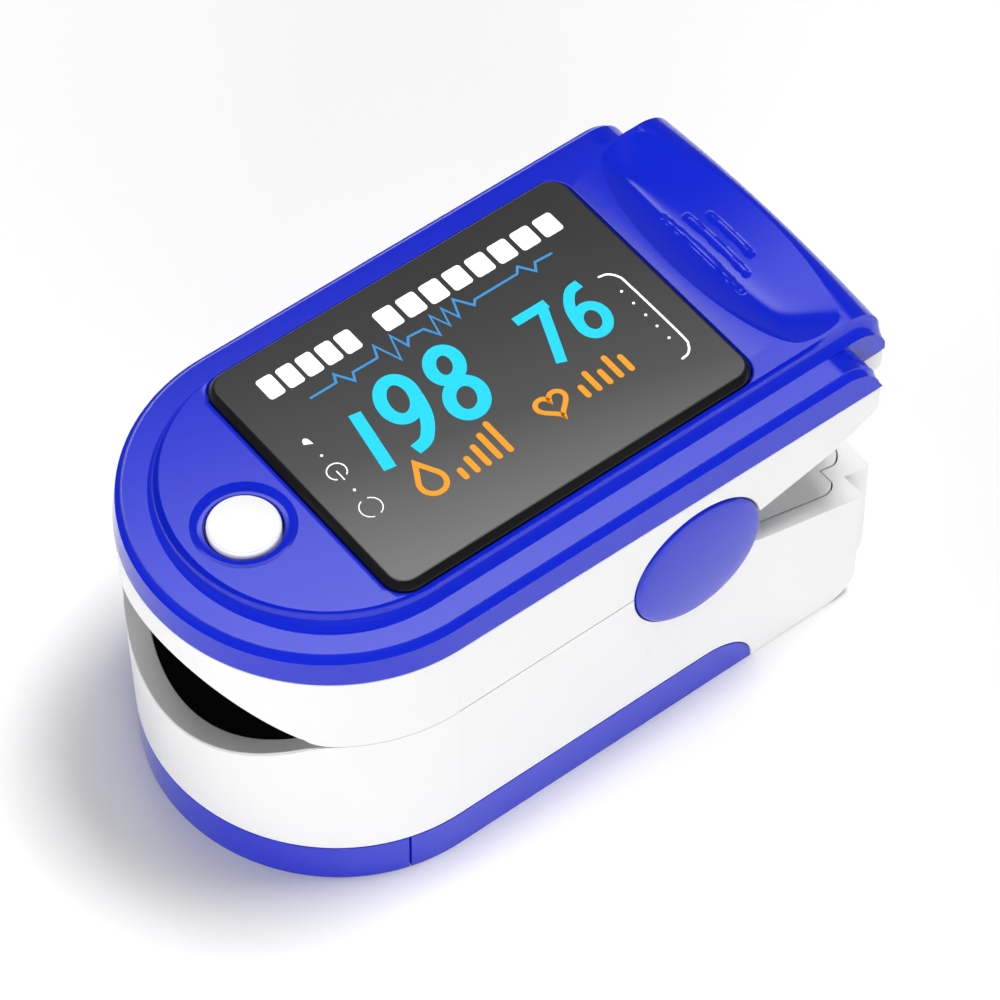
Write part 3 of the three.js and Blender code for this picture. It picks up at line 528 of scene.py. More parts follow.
def mouth(side, margin):
    """Everything in front of a lip, from past the parting height to a margin beyond the lip."""
    xs = np.linspace(-LIP_END, LIP_END, 61)
    fade = np.clip((LIP_END - np.abs(xs)) / 1.4, 0, 1)
    edge = [(x, PARTING_Z + side * (lip_rise(x) + margin * f)) for x, f in zip(xs, fade)]
    edge = [(-LIP_END - 0.8, PARTING_Z), *edge, (LIP_END + 0.8, PARTING_Z)]
    back = PARTING_Z - side * 1.0
    outline = [*edge, (LIP_END + 0.8, back), (-LIP_END - 0.8, back)]
    return prism(outline, "Y", COVER_LOW[1] - 2, NOSE_Y + 2)


def lip(side, set_back):
    """The grey lip: over the edge of the wall and down behind it, following the nose."""
    r = 0.12
    profile = [(set_back, LIP_EDGE), *arc(set_back + r, r, -r, -r, 0, 90, 3)]
    profile += arc(LIP_DEPTH - r, r, r, r, -90, 0, 3)
    profile += [(LIP_DEPTH, 1.7), (WALL + 0.1, 1.7), (WALL + 0.1, LIP_EDGE)]
    sections = []
    for x in np.linspace(-LIP_END + 0.1, LIP_END - 0.1, 121):
        ease = np.clip((LIP_END - abs(x)) / 1.6, 0.12, 1)
        base = max(float(lip_rise(x)), 0.13)
        heights = [PARTING_Z + side * (base + down * (ease if down > 0.2 else 1)) for _, down in profile]
        sections.append([(x, float(nose_y(x, z, inset)), z) for (inset, _), z in zip(profile, heights)])
    return loft(sections)


# ---------- top cover ----------

def cover_step(outline, top, profile, fall, across=24):
    """One step of the cover, as sections from the tip of the nose to the rear.

    outline gives the foot's (x, y) points on the right side and their outward normals, profile the
    (in, down) points from the shoulder's foot onto the top, and fall(x, y) how far the top has come down.
    """
    sections = []
    for (x, y), normal in outline:
        foot = seam_height(y) + GAP / 2
        right = [(x, y, foot)]
        for inward, down in profile:
            px, py = x - normal[0] * inward, y - normal[1] * inward
            right.append((max(px, 0.0), py, max(top - down - fall(px, py), foot)))
        inner_x, inner_y, _ = right[-1]
        middle = []
        for k in range(1, across):
            mx = inner_x * (1 - 2 * k / across)
            middle.append((mx, inner_y, max(top - fall(mx, inner_y), foot)))
        sections.append(right + middle + [(-px, py, pz) for px, py, pz in reversed(right)])
    return loft(sections)


def half_outline(half, rear_points):
    """Points and outward normals from the tip of the nose along the right side to the rear."""
    depth = half - NOSE_FLAT
    points = []
    for a in np.radians(np.linspace(-90, 0, 73)):
        normal = np.array([cos(a) / half, sin(a) / depth])
        place = (max(half * cos(a), 0.0), NOSE_Y + depth * sin(a))
        points.append((place, normal / np.linalg.norm(normal)))
    return points + [((half, y), np.array([1.0, 0.0])) for y in rear_points]


def seam_height(y):
    return SEAM_Z - SEAM_DROP * (y - COVER_LOW[1]) / (COVER_HIGH[1] - COVER_LOW[1])


def quarter(t):
    """How far a quarter circle has come down at t of its reach."""
    return 1 - sqrt(max(1 - min(max(t, 0.0), 1.0) ** 2, 0.0))


def ledge_fall(x, y):
    """The ledge's rear: one quarter round straight across."""
    return 3.35 * quarter((y - 24.9) / (SIDE_END["upper"] - 24.9))


def island_fall(x, y):
    """The island's rear: a tight edge in the middle that widens towards the corners."""
    bow = min((x / 13) ** 2, 1.25)
    reach, drop = 1.7 + 1.5 * bow, 2.5 + 0.8 * bow
    return drop * quarter((y - COVER_HIGH[1] + reach) / reach)


def arc_stations(start_y, end_y, steps):
    return [start_y + (end_y - start_y) * sin(radians(90) * k / steps) for k in range(steps + 1)]


def shoulder(inward, down, foot, head, steps=12):
    """A shoulder as (in, down) points, rounded between the slopes foot and head, which are in degrees."""
    angles = np.radians(np.linspace(foot, head, steps + 1))
    u, v = np.cos(angles), np.sin(angles)
    u, v = (u - u[0]) / (u[-1] - u[0]), (v - v[-1]) / (v[0] - v[-1])
    return [(inward * float(a), down * float(b)) for a, b in zip(u, v)]


def top_cover():
    side_y = SIDE_END["upper"]
    ledge_edge = [(0.30 + a, b) for a, b in shoulder(0.66, 0.57, 62, 16)]
    ledge = cover_step(
        half_outline(BODY_HALF, [-5, 10, *arc_stations(24.6, side_y, 24)]),
        LEDGE_Z, ledge_edge, ledge_fall,
    )
    tail_y = COVER_HIGH[1]
    island = cover_step(
        half_outline(ISLAND_HALF, [-5, 10, 22, *arc_stations(27.6, tail_y, 28)]),
        ISLAND_Z, shoulder(0.98, 1.55, 78, 16, 14), island_fall,
    )
    island = keep(island, prism(tail_bow(), "Z", 20, 40))
    cover = join(ledge, island)
    inner = keep(skin("upper", 2.3, 20, 29.2, stepped=False), full_width(-FAR, 26.5, 0, 50))
    inner_island = prism(plan(13.0, 1.8, "upper"), "Z", 20, 30.3)
    inner_island = keep(inner_island, full_width(-FAR, 28.3, 0, 50))
    cover = cut(cover, inner, inner_island, window_recess(), display_opening(), button_dish(), thumb_hollow())
    return finished(cover, "cover_shell", "upper_jaw", BLUE, ["top_cover"], 13)


def tail_bow():
    """The cover's plan, which bows out a little at the tail."""
    corner_y = TAIL_CORNER["upper"]
    bow = bowed_tail(TAIL_HALF, corner_y, TAIL_END["upper"], 24)
    return [(FAR, -FAR), (FAR, corner_y), *bow, (-FAR, corner_y), (-FAR, -FAR)]


def window_layers(steps):
    """A solid with the window's outline, grown by a little at each of its (growth, height) steps."""
    half, y0, y1 = GLASS_HIGH[0] - 0.3, GLASS_LOW[1] + 0.3, GLASS_HIGH[1] - 0.3
    return loft([level(rounded_rectangle(half + g, y0 - g, y1 + g, 1.5 + g), z) for g, z in steps])


def window_recess():
    """The seat of the window, with a rounded rim."""
    rim = [(0.62 + 0.2 * (1 - cos(a)), ISLAND_Z - 0.2 + 0.2 * sin(a)) for a in np.radians([25, 50, 75, 90])]
    return window_layers([(0.62, 31.2), (0.62, ISLAND_Z - 0.2), *rim, (0.9, ISLAND_Z + 0.5)])


def display_opening():
    y0, y1 = GLASS_LOW[1], GLASS_HIGH[1]
    return prism(rounded_rectangle(11.8, y0 + 1.3, y1 - 1.3, 1), "Z", 29, 31.5)


def button_dish():
    """The dished ring round the power button, and the hole that the button moves in."""
    centre = (0, BUTTON_Y, 0)
    hole = 3.2
    floor = ISLAND_Z - 0.34
    profile = [(0, 29), (hole, 29), (hole, floor - 0.08), (hole + 0.08, floor), (3.5, floor + 0.01)]
    for t in np.linspace(0.1, 1, 10):
        profile.append((3.5 + 0.8 * t, floor + 0.01 + 0.35 * t * t * (1.6 - 0.6 * t)))
    profile += [(4.4, ISLAND_Z + 0.1), (4.4, ISLAND_Z + 2), (0, ISLAND_Z + 2)]
    return lathe(profile, centre, "Z", 96)


PRESS = {"half": 13.03, "front_y": 24.2, "front_reach": 3.75, "rear_y": 29.7, "rear_bow": 1.9, "depth": 1.2}


def smooth(t):
    t = np.clip(t, 0, 1)
    return t * t * (3 - 2 * t)


def lesser(a, b, blend):
    """The smaller of two depths, blended where they meet."""
    return 0.5 * (a + b - np.sqrt((a - b) ** 2 + blend * blend))


def press_depth(x, y):
    """Depth of the thumb hollow: a steep front, a long shallow rear, and three plain ridges on its floor."""
    across = np.clip(1 - (x / PRESS["half"]) ** 2, 0, 1)
    front = PRESS["front_y"] - PRESS["front_reach"] * np.sqrt(across)
    rear = PRESS["rear_y"] - PRESS["rear_bow"] * (x / 12.5) ** 2
    ahead = np.clip((y - front) / 5.4, -0.2, 1)
    slope = PRESS["depth"] * 1.3 * (1 - (1 - ahead) ** 2)
    rise = PRESS["depth"] * (rear - y) / 4.9
    end = 0.30 * (PRESS["half"] - np.abs(x))
    depth = lesser(lesser(slope, rise, 0.30), end, 0.22) + 0.05
    for offset in (0.0, 1.35, 2.7):
        middle = 24.0 + offset - 0.010 * x * x
        ridge = smooth(1.25 - np.abs(y - middle) / 0.32)
        depth = depth - 0.13 * ridge * smooth((5.4 - 0.9 * offset - np.abs(x)) / 0.6)
    return np.clip(depth, -0.3, None)


def thumb_hollow():
    """A cutter whose underside is the hollow's surface."""
    xs = np.linspace(-PRESS["half"] - 0.3, PRESS["half"] + 0.3, 180)
    ys = np.linspace(PRESS["front_y"] - PRESS["front_reach"] - 0.3, PRESS["rear_y"] + 0.3, 110)
    gx, gy = np.meshgrid(xs, ys, indexing="ij")
    bottom = np.column_stack([gx.ravel(), gy.ravel(), (ISLAND_Z - press_depth(gx, gy)).ravel()])
    index = np.arange(gx.size).reshape(gx.shape)
    cells = [index[:-1, :-1], index[:-1, 1:], index[1:, 1:], index[1:, :-1]]
    faces = np.stack(cells, axis=-1).reshape(-1, 4).tolist()
    rim = np.concatenate([index[0], index[1:, -1], index[-1, -2::-1], index[-2:0:-1, 0]]).tolist()
    lid = bottom[rim]
    lid[:, 2] = ISLAND_Z + 1
    top = list(range(gx.size, gx.size + len(rim)))
    for k in range(len(rim)):
        j = (k + 1) % len(rim)
        faces.append((rim[k], rim[j], top[j], top[k]))
    faces.append(tuple(reversed(top)))
    return mesh_object(np.concatenate([bottom, lid]), faces)


# ---------- window and display ----------

def display_glass():
    """A slab with a polished top and a black bevelled edge."""
    top = GLASS_HIGH[2]
    edge = [(0.5, 31.3), (0.56, ISLAND_Z - 0.02), (0.5, ISLAND_Z + 0.16)]
    edge += [(0.16, top - 0.14), (0.07, top - 0.08)]
    face = [(-0.05, top - 0.35), (0.02, top - 0.08), (0.0, top - 0.03), (-0.06, top)]
    for name, steps, material in (("window_bevel", edge, BEZEL), ("window_face", face, SMOKED)):
        finished(window_layers(steps), name, "upper_jaw", material, ["display_window"])


DISPLAY_Z = GLASS_HIGH[2]
BUTTON_Y = (BUTTON_LOW[1] + BUTTON_HIGH[1]) / 2 - 0.3
MARK_HEIGHTS = (DISPLAY_Z - 0.05, DISPLAY_Z + 0.02)


def ribbon(points, half, closed=False, round_ends=True):
    """A flat stroke of a constant half width along points (x, y) on the window."""
    path = np.asarray(points, float)
    widths = np.full(len(path), half)
    if round_ends and not closed:
        angles = np.radians([30, 60, 85])

        def tip(end, inner):
            along = (end - inner) / np.linalg.norm(end - inner)
            return [end + along * half * sin(a) for a in angles]

        narrow = [half * cos(a) for a in angles]
        path = np.array([*tip(path[0], path[1])[::-1], *path, *tip(path[-1], path[-2])])
        widths = np.array([*narrow[::-1], *widths, *narrow])
    count = len(path)
    left, right = [], []
    for i, here in enumerate(path):
        before = path[i - 1] if (i > 0 or closed) else here
        after = path[(i + 1) % count] if (i < count - 1 or closed) else here
        a = here - before if np.linalg.norm(here - before) > 1e-9 else after - here
        b = after - here if np.linalg.norm(after - here) > 1e-9 else a
        a, b = a / np.linalg.norm(a), b / np.linalg.norm(b)
        normal = np.array([-(a + b)[1], (a + b)[0]])
        normal /= max(np.linalg.norm(normal), 1e-9)
        stretch = 1 / max(abs(normal @ np.array([-a[1], a[0]])), 0.45)
        left.append(here + normal * widths[i] * stretch)
        right.append(here - normal * widths[i] * stretch)
    z0, z1 = MARK_HEIGHTS
    return loft([[(*l, z0), (*r, z0), (*r, z1), (*l, z1)] for l, r in zip(left, right)], closed)


def marks(name, strokes, material):
    return finished(join(*strokes), name, "upper_jaw", material)


def numeral(strokes, left_y, base_x, size, lean, half):
    """A plain numeral from strokes in a unit box, reading along +Y with its top towards -X."""
    width, height = size
    made = []
    for path, closed in strokes:
        points = [(base_x - v * height, left_y + u * width + v * height * lean) for u, v in path]
        made.append(ribbon(points, half, closed, round_ends=False))
    return made


def nine(t):
    """A nine's strokes, where t is half the stroke's width in box units along and up."""
    tu, tv = t
    bowl = arc(0.5, 0.68, 0.5 - tu, 0.32 - tv, 0, 360, 40)[:-1]
    tail = [(u - tu, v) for u, v in ((1, 0.70), (0.985, 0.50), (0.93, 0.34), (0.80, 0.20), (0.62, 0.10))]
    tail.append((0.2, tv))
    return [(bowl, True), (smooth_path(tail), False)]


def eight(t):
    tu, tv = t
    return [(arc(0.5, 0.74, 0.45 - tu, 0.26 - tv, 0, 360, 40)[:-1], True),
            (arc(0.5, 0.28, 0.5 - tu, 0.28 - tv, 0, 360, 40)[:-1], True)]


def seven(t):
    tu, tv = t
    return [([(0.03, 1 - tv), (1.0, 1 - tv)], False), ([(0.86, 1 - 0.9 * tv), (0.36, 0)], False)]


def six(t):
    return [([(1 - u, 1 - v) for u, v in path], closed) for path, closed in nine(t)]


def numerals(shapes, name, size, starts, base_x, lean, half):
    t = (half / size[0], half / size[1])
    strokes = []
    for shape, left_y in zip(shapes, starts):
        strokes += numeral(shape(t), left_y, base_x, size, lean, half)
    return marks(name, strokes, CYAN)


def stamp(outline):
    """A filled mark on the window."""
    return prism(outline, "Z", *MARK_HEIGHTS)


def dot(x, y, radius=0.13):
    return stamp(arc(x, y, radius, radius, 0, 360, 16)[:-1])


def rising(x, places, half):
    """A row of upright strokes, as (y, height) places."""
    return [ribbon([(x, y), (x - height, y)], half) for y, height in places]


def display_marks():
    numerals([nine, eight], "reading_level", (4.0, 8.0), (-8.6, -3.7), 3.4, 0.16, 0.56)
    numerals([seven, six], "reading_rate", (3.3, 6.0), (5.6, 9.6), 3.0, 0.12, 0.46)
    marks("reading_bar", [ribbon([(-3.0, -9.35), (3.1, -10.4)], 0.55, round_ends=False)], CYAN)
    bars = []
    for first, last, count in ((-13.9, -4.4, 5), (-2.5, 15.9, 8)):
        pitch = (last - first) / count
        for k in range(count):
            y = first + pitch * (k + 0.5)
            half, high, low = 0.40 * pitch, -10.25 + 0.014 * y, -8.0 + 0.008 * y
            corners = [(low, y - half), (low, y + half), (high, y + half), (high, y - half)]
            bars.append(stamp(rounded([(*corner, 0.3) for corner in corners], 4)))
    marks("level_bars", bars, PRINT)
    beats = [(-11.1, 0), (-8.6, 0), (-8.25, -0.8), (-7.3, 0.75), (-6.9, -0.05), (-4.5, 0), (-4.0, -1.2),
             (-3.1, 1.3), (-2.35, -1.2), (-1.8, 0.5), (-1.3, -0.2), (0.2, -0.1), (0.9, 1.2), (1.4, -0.9),
             (2.1, 0.9), (2.6, -0.9), (3.2, 0.7), (3.9, -1.1), (4.9, 0.45), (5.3, 0.0), (9.6, 0),
             (10.1, -0.6), (11.0, 0.7), (11.5, -0.1), (13.1, 0)]
    marks("pulse_trace", [ribbon([(-6.4 + h, y) for y, h in beats], 0.11)], TRACE)
    drop = ribbon([(3.9, -8.6), *arc(6.2, -8.6, 1.15, 1.1, -125, 125, 24)], 0.24, closed=True)
    steps = rising(7.4, ((-6.2, 0.8), (-5.1, 1.4), (-4.0, 2.0), (-2.9, 2.6), (-1.8, 3.2)), 0.27)
    marks("level_signs", [drop, *steps], ORANGE)
    heart = []
    for t in np.linspace(0, 2 * pi, 40, endpoint=False):
        v = 13 * cos(t) - 5 * cos(2 * t) - 2 * cos(3 * t) - cos(4 * t)
        heart.append((5.9 - v * 0.085, 3.6 + 16 * sin(t) ** 3 * 0.085))
    steps = rising(6.9, ((6.4, 1.0), (7.5, 1.9), (8.6, 1.3), (9.7, 2.2), (10.8, 1.5)), 0.26)
    marks("rate_signs", [ribbon(heart, 0.22, closed=True), *steps], ORANGE)
    bracket = [(-2.1, 14.6), (-1.9, 15.3), (-1.2, 15.85), (0, 16.0), (6.6, 16.05), (7.8, 15.85), (8.45, 15.3),
               (8.6, 14.6)]
    dots = [dot(x, 15.1) for x in (0.2, 1.75, 3.3, 4.75, 6.28)]
    marks("range_bracket", [ribbon(smooth_path(bracket), 0.1), *dots], PRINT)
    y = -13.88
    power = [ribbon(arc(0.75, y, 0.82, 0.82, 35, 325, 39), 0.055), ribbon([(0.75, y), (1.75, y)], 0.055)]
    ring = [ribbon(arc(5.2, y, 0.95, 0.95, low, low + 140, 23), 0.045) for low in (20, 200)]
    leaf = stamp(arc(-2.95, y - 0.15, 0.5, 0.32, 90, 270, 10) + [(-2.6, y + 0.2)])
    marks("control_signs", [*power, *ring, leaf, dot(-1.25, y), dot(3.05, y)], PRINT)


def smooth_path(points, steps=6):
    """A Catmull-Rom curve through points."""
    p = np.asarray(points, float)
    p = np.vstack([2 * p[0] - p[1], p, 2 * p[-1] - p[-2]])
    out = []
    for i in range(1, len(p) - 2):
        for k in range(steps):
            t = k / steps
            out.append(0.5 * (2 * p[i] + (p[i + 1] - p[i - 1]) * t
                              + (2 * p[i - 1] - 5 * p[i] + 4 * p[i + 1] - p[i + 2]) * t ** 2
                              + (3 * p[i] - p[i - 1] - 3 * p[i + 1] + p[i + 2]) * t ** 3))
    out.append(p[-2])
    return out


def power_button():
    foot = BUTTON_LOW[2]
    top, rim, radius = BUTTON_HIGH[2] - 0.25, ISLAND_Z + 0.06, 2.99
    profile = [(0, foot), (3.9, foot), (3.9, foot + 0.2), (radius, foot + 0.2)]
    profile += arc(radius - 0.3, rim - 0.3, 0.3, 0.3, 0, 70, 7)
    profile += [(r, rim + (top - rim) * (1 - (r / radius) ** 2)) for r in np.linspace(2.8, 0.1, 16)]
    obj = lathe([*profile, (0, top)], (0, BUTTON_Y, 0))
    return finished(obj, "button_cap", "power_button", LIGHTENED_WHITE, ["power_button"])


def pivot_cap(hand, name, node):
    rim, crown = CAP_HIGH[0] - 0.06, CAP_HIGH[0] + 0.28
    profile = [(0, 15.05), (0.85, 15.05), (0.85, 15.6), (CAP_RADIUS, 15.6)]
    profile += arc(CAP_RADIUS - 0.42, rim - 0.38, 0.42, 0.38, 0, 84, 6)
    for r in (5.7, 5.0, 4.2, 3.3, 2.2, 1.1, 0):
        profile.append((r, rim + (crown - rim) * (1 - (r / CAP_RADIUS) ** 2)))
    obj = lathe([(r, h * hand) for r, h in profile], HINGE, "X")
    return finished(obj, name, "lower_jaw", BLUE, [node])


# ---------- shells ----------

def cap_hole():
    return cylinder(CAP_RADIUS + 0.15, -FAR, FAR, 96)


def jaw_space(jaw):
    """What the wedge between the jaws' tails leaves of a jaw, as an outline in Y and Z."""
    line = WEDGE[jaw]
    end_y, end_z = line[-1]
    slope = (end_z - line[-2][1]) / (end_y - line[-2][0])
    tail_z, beyond = (end_z + slope * 3.5, -FAR) if jaw == "lower" else (end_z + 0.5, FAR)
    return prism([(-FAR, line[0][1]), *line, (end_y + 3.5, tail_z), (end_y + 3.5, beyond), (-FAR, beyond)])


def deck_outline(jaw, grow):
    """The rear plate's outline from above: square shoulders, a cusp, and a rounded tongue."""
    shoulder_y, tongue_y = (26.7, 29.5) if jaw == "lower" else (27.2, 29.7)
    broad, narrow = DECK_HALF + grow, 13.05 + grow
    right = [(broad, -FAR, 0), (broad, shoulder_y + grow, 2.2), (narrow, shoulder_y + grow, 0),
             (narrow, tongue_y + grow, 2.6)]
    return rounded(right + [(-x, y, r) for x, y, r in reversed(right)], 8)


def upper_shell():
    low, high = seam_height(-FAR) - GAP / 2, seam_height(FAR) - GAP / 2
    shell = keep(skin("upper", 0, PARTING_Z, 29), prism([(-FAR, low), (FAR, high), (FAR, 0), (-FAR, 0)]))
    shell = keep(shell, jaw_space("upper"))
    room = keep(prism(deck_outline("upper", 0.1), "Z", 10, 40), skin("upper", WALL, 10, 40))
    shell = cut(shell, room, mouth(1, LIP_EDGE + 0.04), cap_hole())
    soften(shell, spare=at_mouth_end)
    return finished(shell, "upper_casing", "upper_jaw", WHITE, ["upper_shell"])


DOOR_END = {"y": 11.2, "reach": 5.05}
DECK_SCREWS = [(12.6, -12), (-12.6, -12), (12.6, 21.5), (-12.6, 21.5)]
COVER_SCREW_X = (-11, 11)
COVER_SCREW_Y = 26.2
PLATE_THICK = 1.15                 # the decks' rear plates
CELL_Z = 6.6
TRIM_SEAM_Y = -19.0


def tail_round(y):
    """The rounding of a tail that ends at y, from its foot upwards."""
    r = TAIL_ROUND
    return arc(y - r, r, r, r, -90, 0, 16)


def lower_profile():
    """The lower shell's side view below the wedge: over the door, round its end, and round the tail."""
    door = arc(DOOR_END["y"], 0, DOOR_END["reach"] + GAP, DOOR_TOP + GAP, 90, 0, 20)
    tail = tail_round(SIDE_END["lower"])
    return [(-FAR, DOOR_TOP + GAP), *door, *tail, (SIDE_END["lower"], 30), (-FAR, 30)]


def lower_shell():
    tail = [(20, 0), *tail_round(TAIL_END["lower"]), (TAIL_END["lower"], 30), (20, 30)]
    tail = prism(tail, "X", -TAIL_HALF, TAIL_HALF)
    shell = keep(skin("lower", 0, 0, PARTING_Z), join(prism(lower_profile()), tail), jaw_space("lower"))
    bay_end = 16.4
    skirt = prism(plan(15.4, WALL, "lower", False), "Z", 1.3, 6.2)
    shell = join(shell, keep(skirt, full_width(-FAR, bay_end, 0, 8)))
    room = keep(prism(deck_outline("lower", 0.1), "Z", 6.2, 40), skin("lower", WALL, 6.2, 40))
    tail_room = keep(skin("lower", WALL, 1.2, 8), full_width(17.6, FAR, 0, 30))
    tail_room = keep(tail_room, prism(deck_outline("lower", 0.1), "Z", 0, 40))
    bay = keep(prism(plan(14.2, WALL, "lower", False), "Z", -1, 8), full_width(-FAR, bay_end, -2, 9))
    rear_bay = block(-13.4, 13.4, 12, 17.8, 1.2, 8)
    slot = block(-12.35, 12.35, 12, 19.15, -1, 2.2)
    shell = cut(shell, room, tail_room, bay, rear_bay, slot, mouth(-1, LIP_EDGE + 0.04), cap_hole())
    shell = join(shell, block(-12, 12, 25.2, 26.2, 0.6, 10.6))
    for x, y in DECK_SCREWS:
        inner, outer = sorted((copysign(10.9, x), copysign(16, x)))
        shell = join(shell, block(inner, outer, y - 2, y + 2, 5.05, 6.2))
    for x, y in DECK_SCREWS:
        shell = cut(shell, post(0.95, x, y, 0, 7.2, 24), post(1.6, x, y, -1, 5.05, 32))
    soften(shell, spare=at_mouth_end)
    return finished(shell, "lower_casing", "lower_jaw", WHITE, ["lower_shell"])


def door_profile():
    end = arc(DOOR_END["y"], 0, DOOR_END["reach"], DOOR_TOP, 90, 0, 20)
    return [(-FAR, DOOR_TOP), *end, (-FAR, 0)]


def door_ring():
    ring = cut(skin("lower", 0, 0, DOOR_TOP, False), skin("lower", 1.2, -1, DOOR_TOP + 1, False))
    return keep(ring, prism(door_profile()))


def door_seam(y0, y1):
    """Everything between two places along the door."""
    return prism([(y0, -1), (y1, -1), (y1, 8), (y0, 8)])


def battery_door():
    door = keep(door_ring(), door_seam(TRIM_SEAM_Y + 0.09, FAR))
    floor = keep(skin("lower", 1.0, 0, 1, False), full_width(TRIM_SEAM_Y + 0.09, 16.2, 0, 1))
    nose = keep(skin("lower", 1.35, 0, 1, False), full_width(-FAR, TRIM_SEAM_Y + 1, 0, 1))
    tongue = prism(rounded([(12.2, 10, 0), (12.2, 19, 1.2), (-12.2, 19, 1.2), (-12.2, 10, 0)]), "Z", 0, 1)
    door = join(door, floor, nose, tongue, *pair(14.9, 15.8, -8, 11, 3.0, 3.8))
    grips = []
    for k in range(6):
        y, reach, r = -2.0 + 1.7 * k, 6.2 - 0.5 * k, 0.28
        corners = [(reach, y, r), (reach, y + 0.8, r), (-reach, y + 0.8, r), (-reach, y, r)]
        grips.append(prism(rounded(corners, 4), "Z", -0.5, 0.32))
    door = soften(cut(door, *grips))
    return finished(door, "door_panel", "battery_door", BLUE, ["battery_door"])


def door_trim():
    trim = soften(keep(door_ring(), door_seam(-FAR, TRIM_SEAM_Y - 0.09)))
    return finished(trim, "door_nose_trim", "battery_door", BLUE, ["door_front_trim"])


# ---------- decks and finger pads ----------

def jaw_of(side):
    """The jaw and its body on a side of the parting height."""
    return ("lower", "lower_jaw") if side < 0 else ("upper", "upper_jaw")


def lip_band(side, half, near, beyond):
    """A strip that runs along the lips' curve, between two distances outside it."""
    xs = np.linspace(-half, half, 49)
    rise = LIP_RISE - LIP_CURVE * xs ** 2
    near_edge, far_edge = [
        [(x, PARTING_Z + side * (r + away)) for x, r in zip(xs, rise)] for away in (near, beyond)
    ]
    return near_edge + far_edge[::-1]


def sensor_outline(grow):
    return rounded_rectangle(2.4 + grow, -11 - grow, -7 + grow, 0.5 + grow, 6)


def sensor_pocket(grow):
    return prism(sensor_outline(grow), "Z")


def finger_pad(side, name, node):
    jaw, body = jaw_of(side)
    pad = prism(lip_band(side, 12.25, 0.06, 0.06 + PAD_THICK), "Y", -32, STOP_Y - 0.1)
    limits = sorted((PARTING_Z + side * 0.14, PARTING_Z + side * 9))
    inside_lip = skin(jaw, LIP_DEPTH + 0.12, PARTING_Z - 9, PARTING_Z + 9)
    pad = keep(pad, inside_lip, full_width(-FAR, FAR, *limits))
    pad = cut(pad, sensor_pocket(0.2))
    starts = [-3.6 + 1.25 * k for k in range(7)]
    pad = cut(pad, *[prism(lip_band(side, 8.6, -0.2, 0.24), "Y", y, y + 0.5) for y in starts])
    soften(pad, 0.09)
    return finished(pad, name, body, SILICONE_PAINTED_SHADE, [node])


def sensor_window(side, name, node):
    low, high = span(node)
    if side < 0:
        steps = [(0.0, low[2]), (0.0, high[2] - 0.1), (-0.1, high[2])]
    else:
        steps = [(-0.1, low[2]), (0.0, low[2] + 0.1), (0.0, high[2])]
    lens = loft([level(sensor_outline(grow), z) for grow, z in steps])
    return finished(lens, name, jaw_of(side)[1], LENS, [node])


def rear_plate(side, jaw, rise):
    """A deck's plate behind the battery bay, along the wedge, and the web that holds it."""
    line = WEDGE[jaw][1:]
    end_y, end_z = line[-1]
    slope = (end_z - line[-2][1]) / (end_y - line[-2][0])
    outer = [(BAY_END, 16.9 if side < 0 else 20.05), *line, (31, end_z + slope * (31 - end_y))]
    inner = [(y, z + side * PLATE_THICK) for y, z in reversed(outer)]
    inner[-1] = (BAY_END + 1, inner[-1][1])
    web = [(BAY_END + 1, PARTING_Z + side * rise), (BAY_END, PARTING_Z + side * rise)]
    return keep(prism([*outer, *inner, *web]), prism(deck_outline(jaw, 0), "Z", 0, 40))


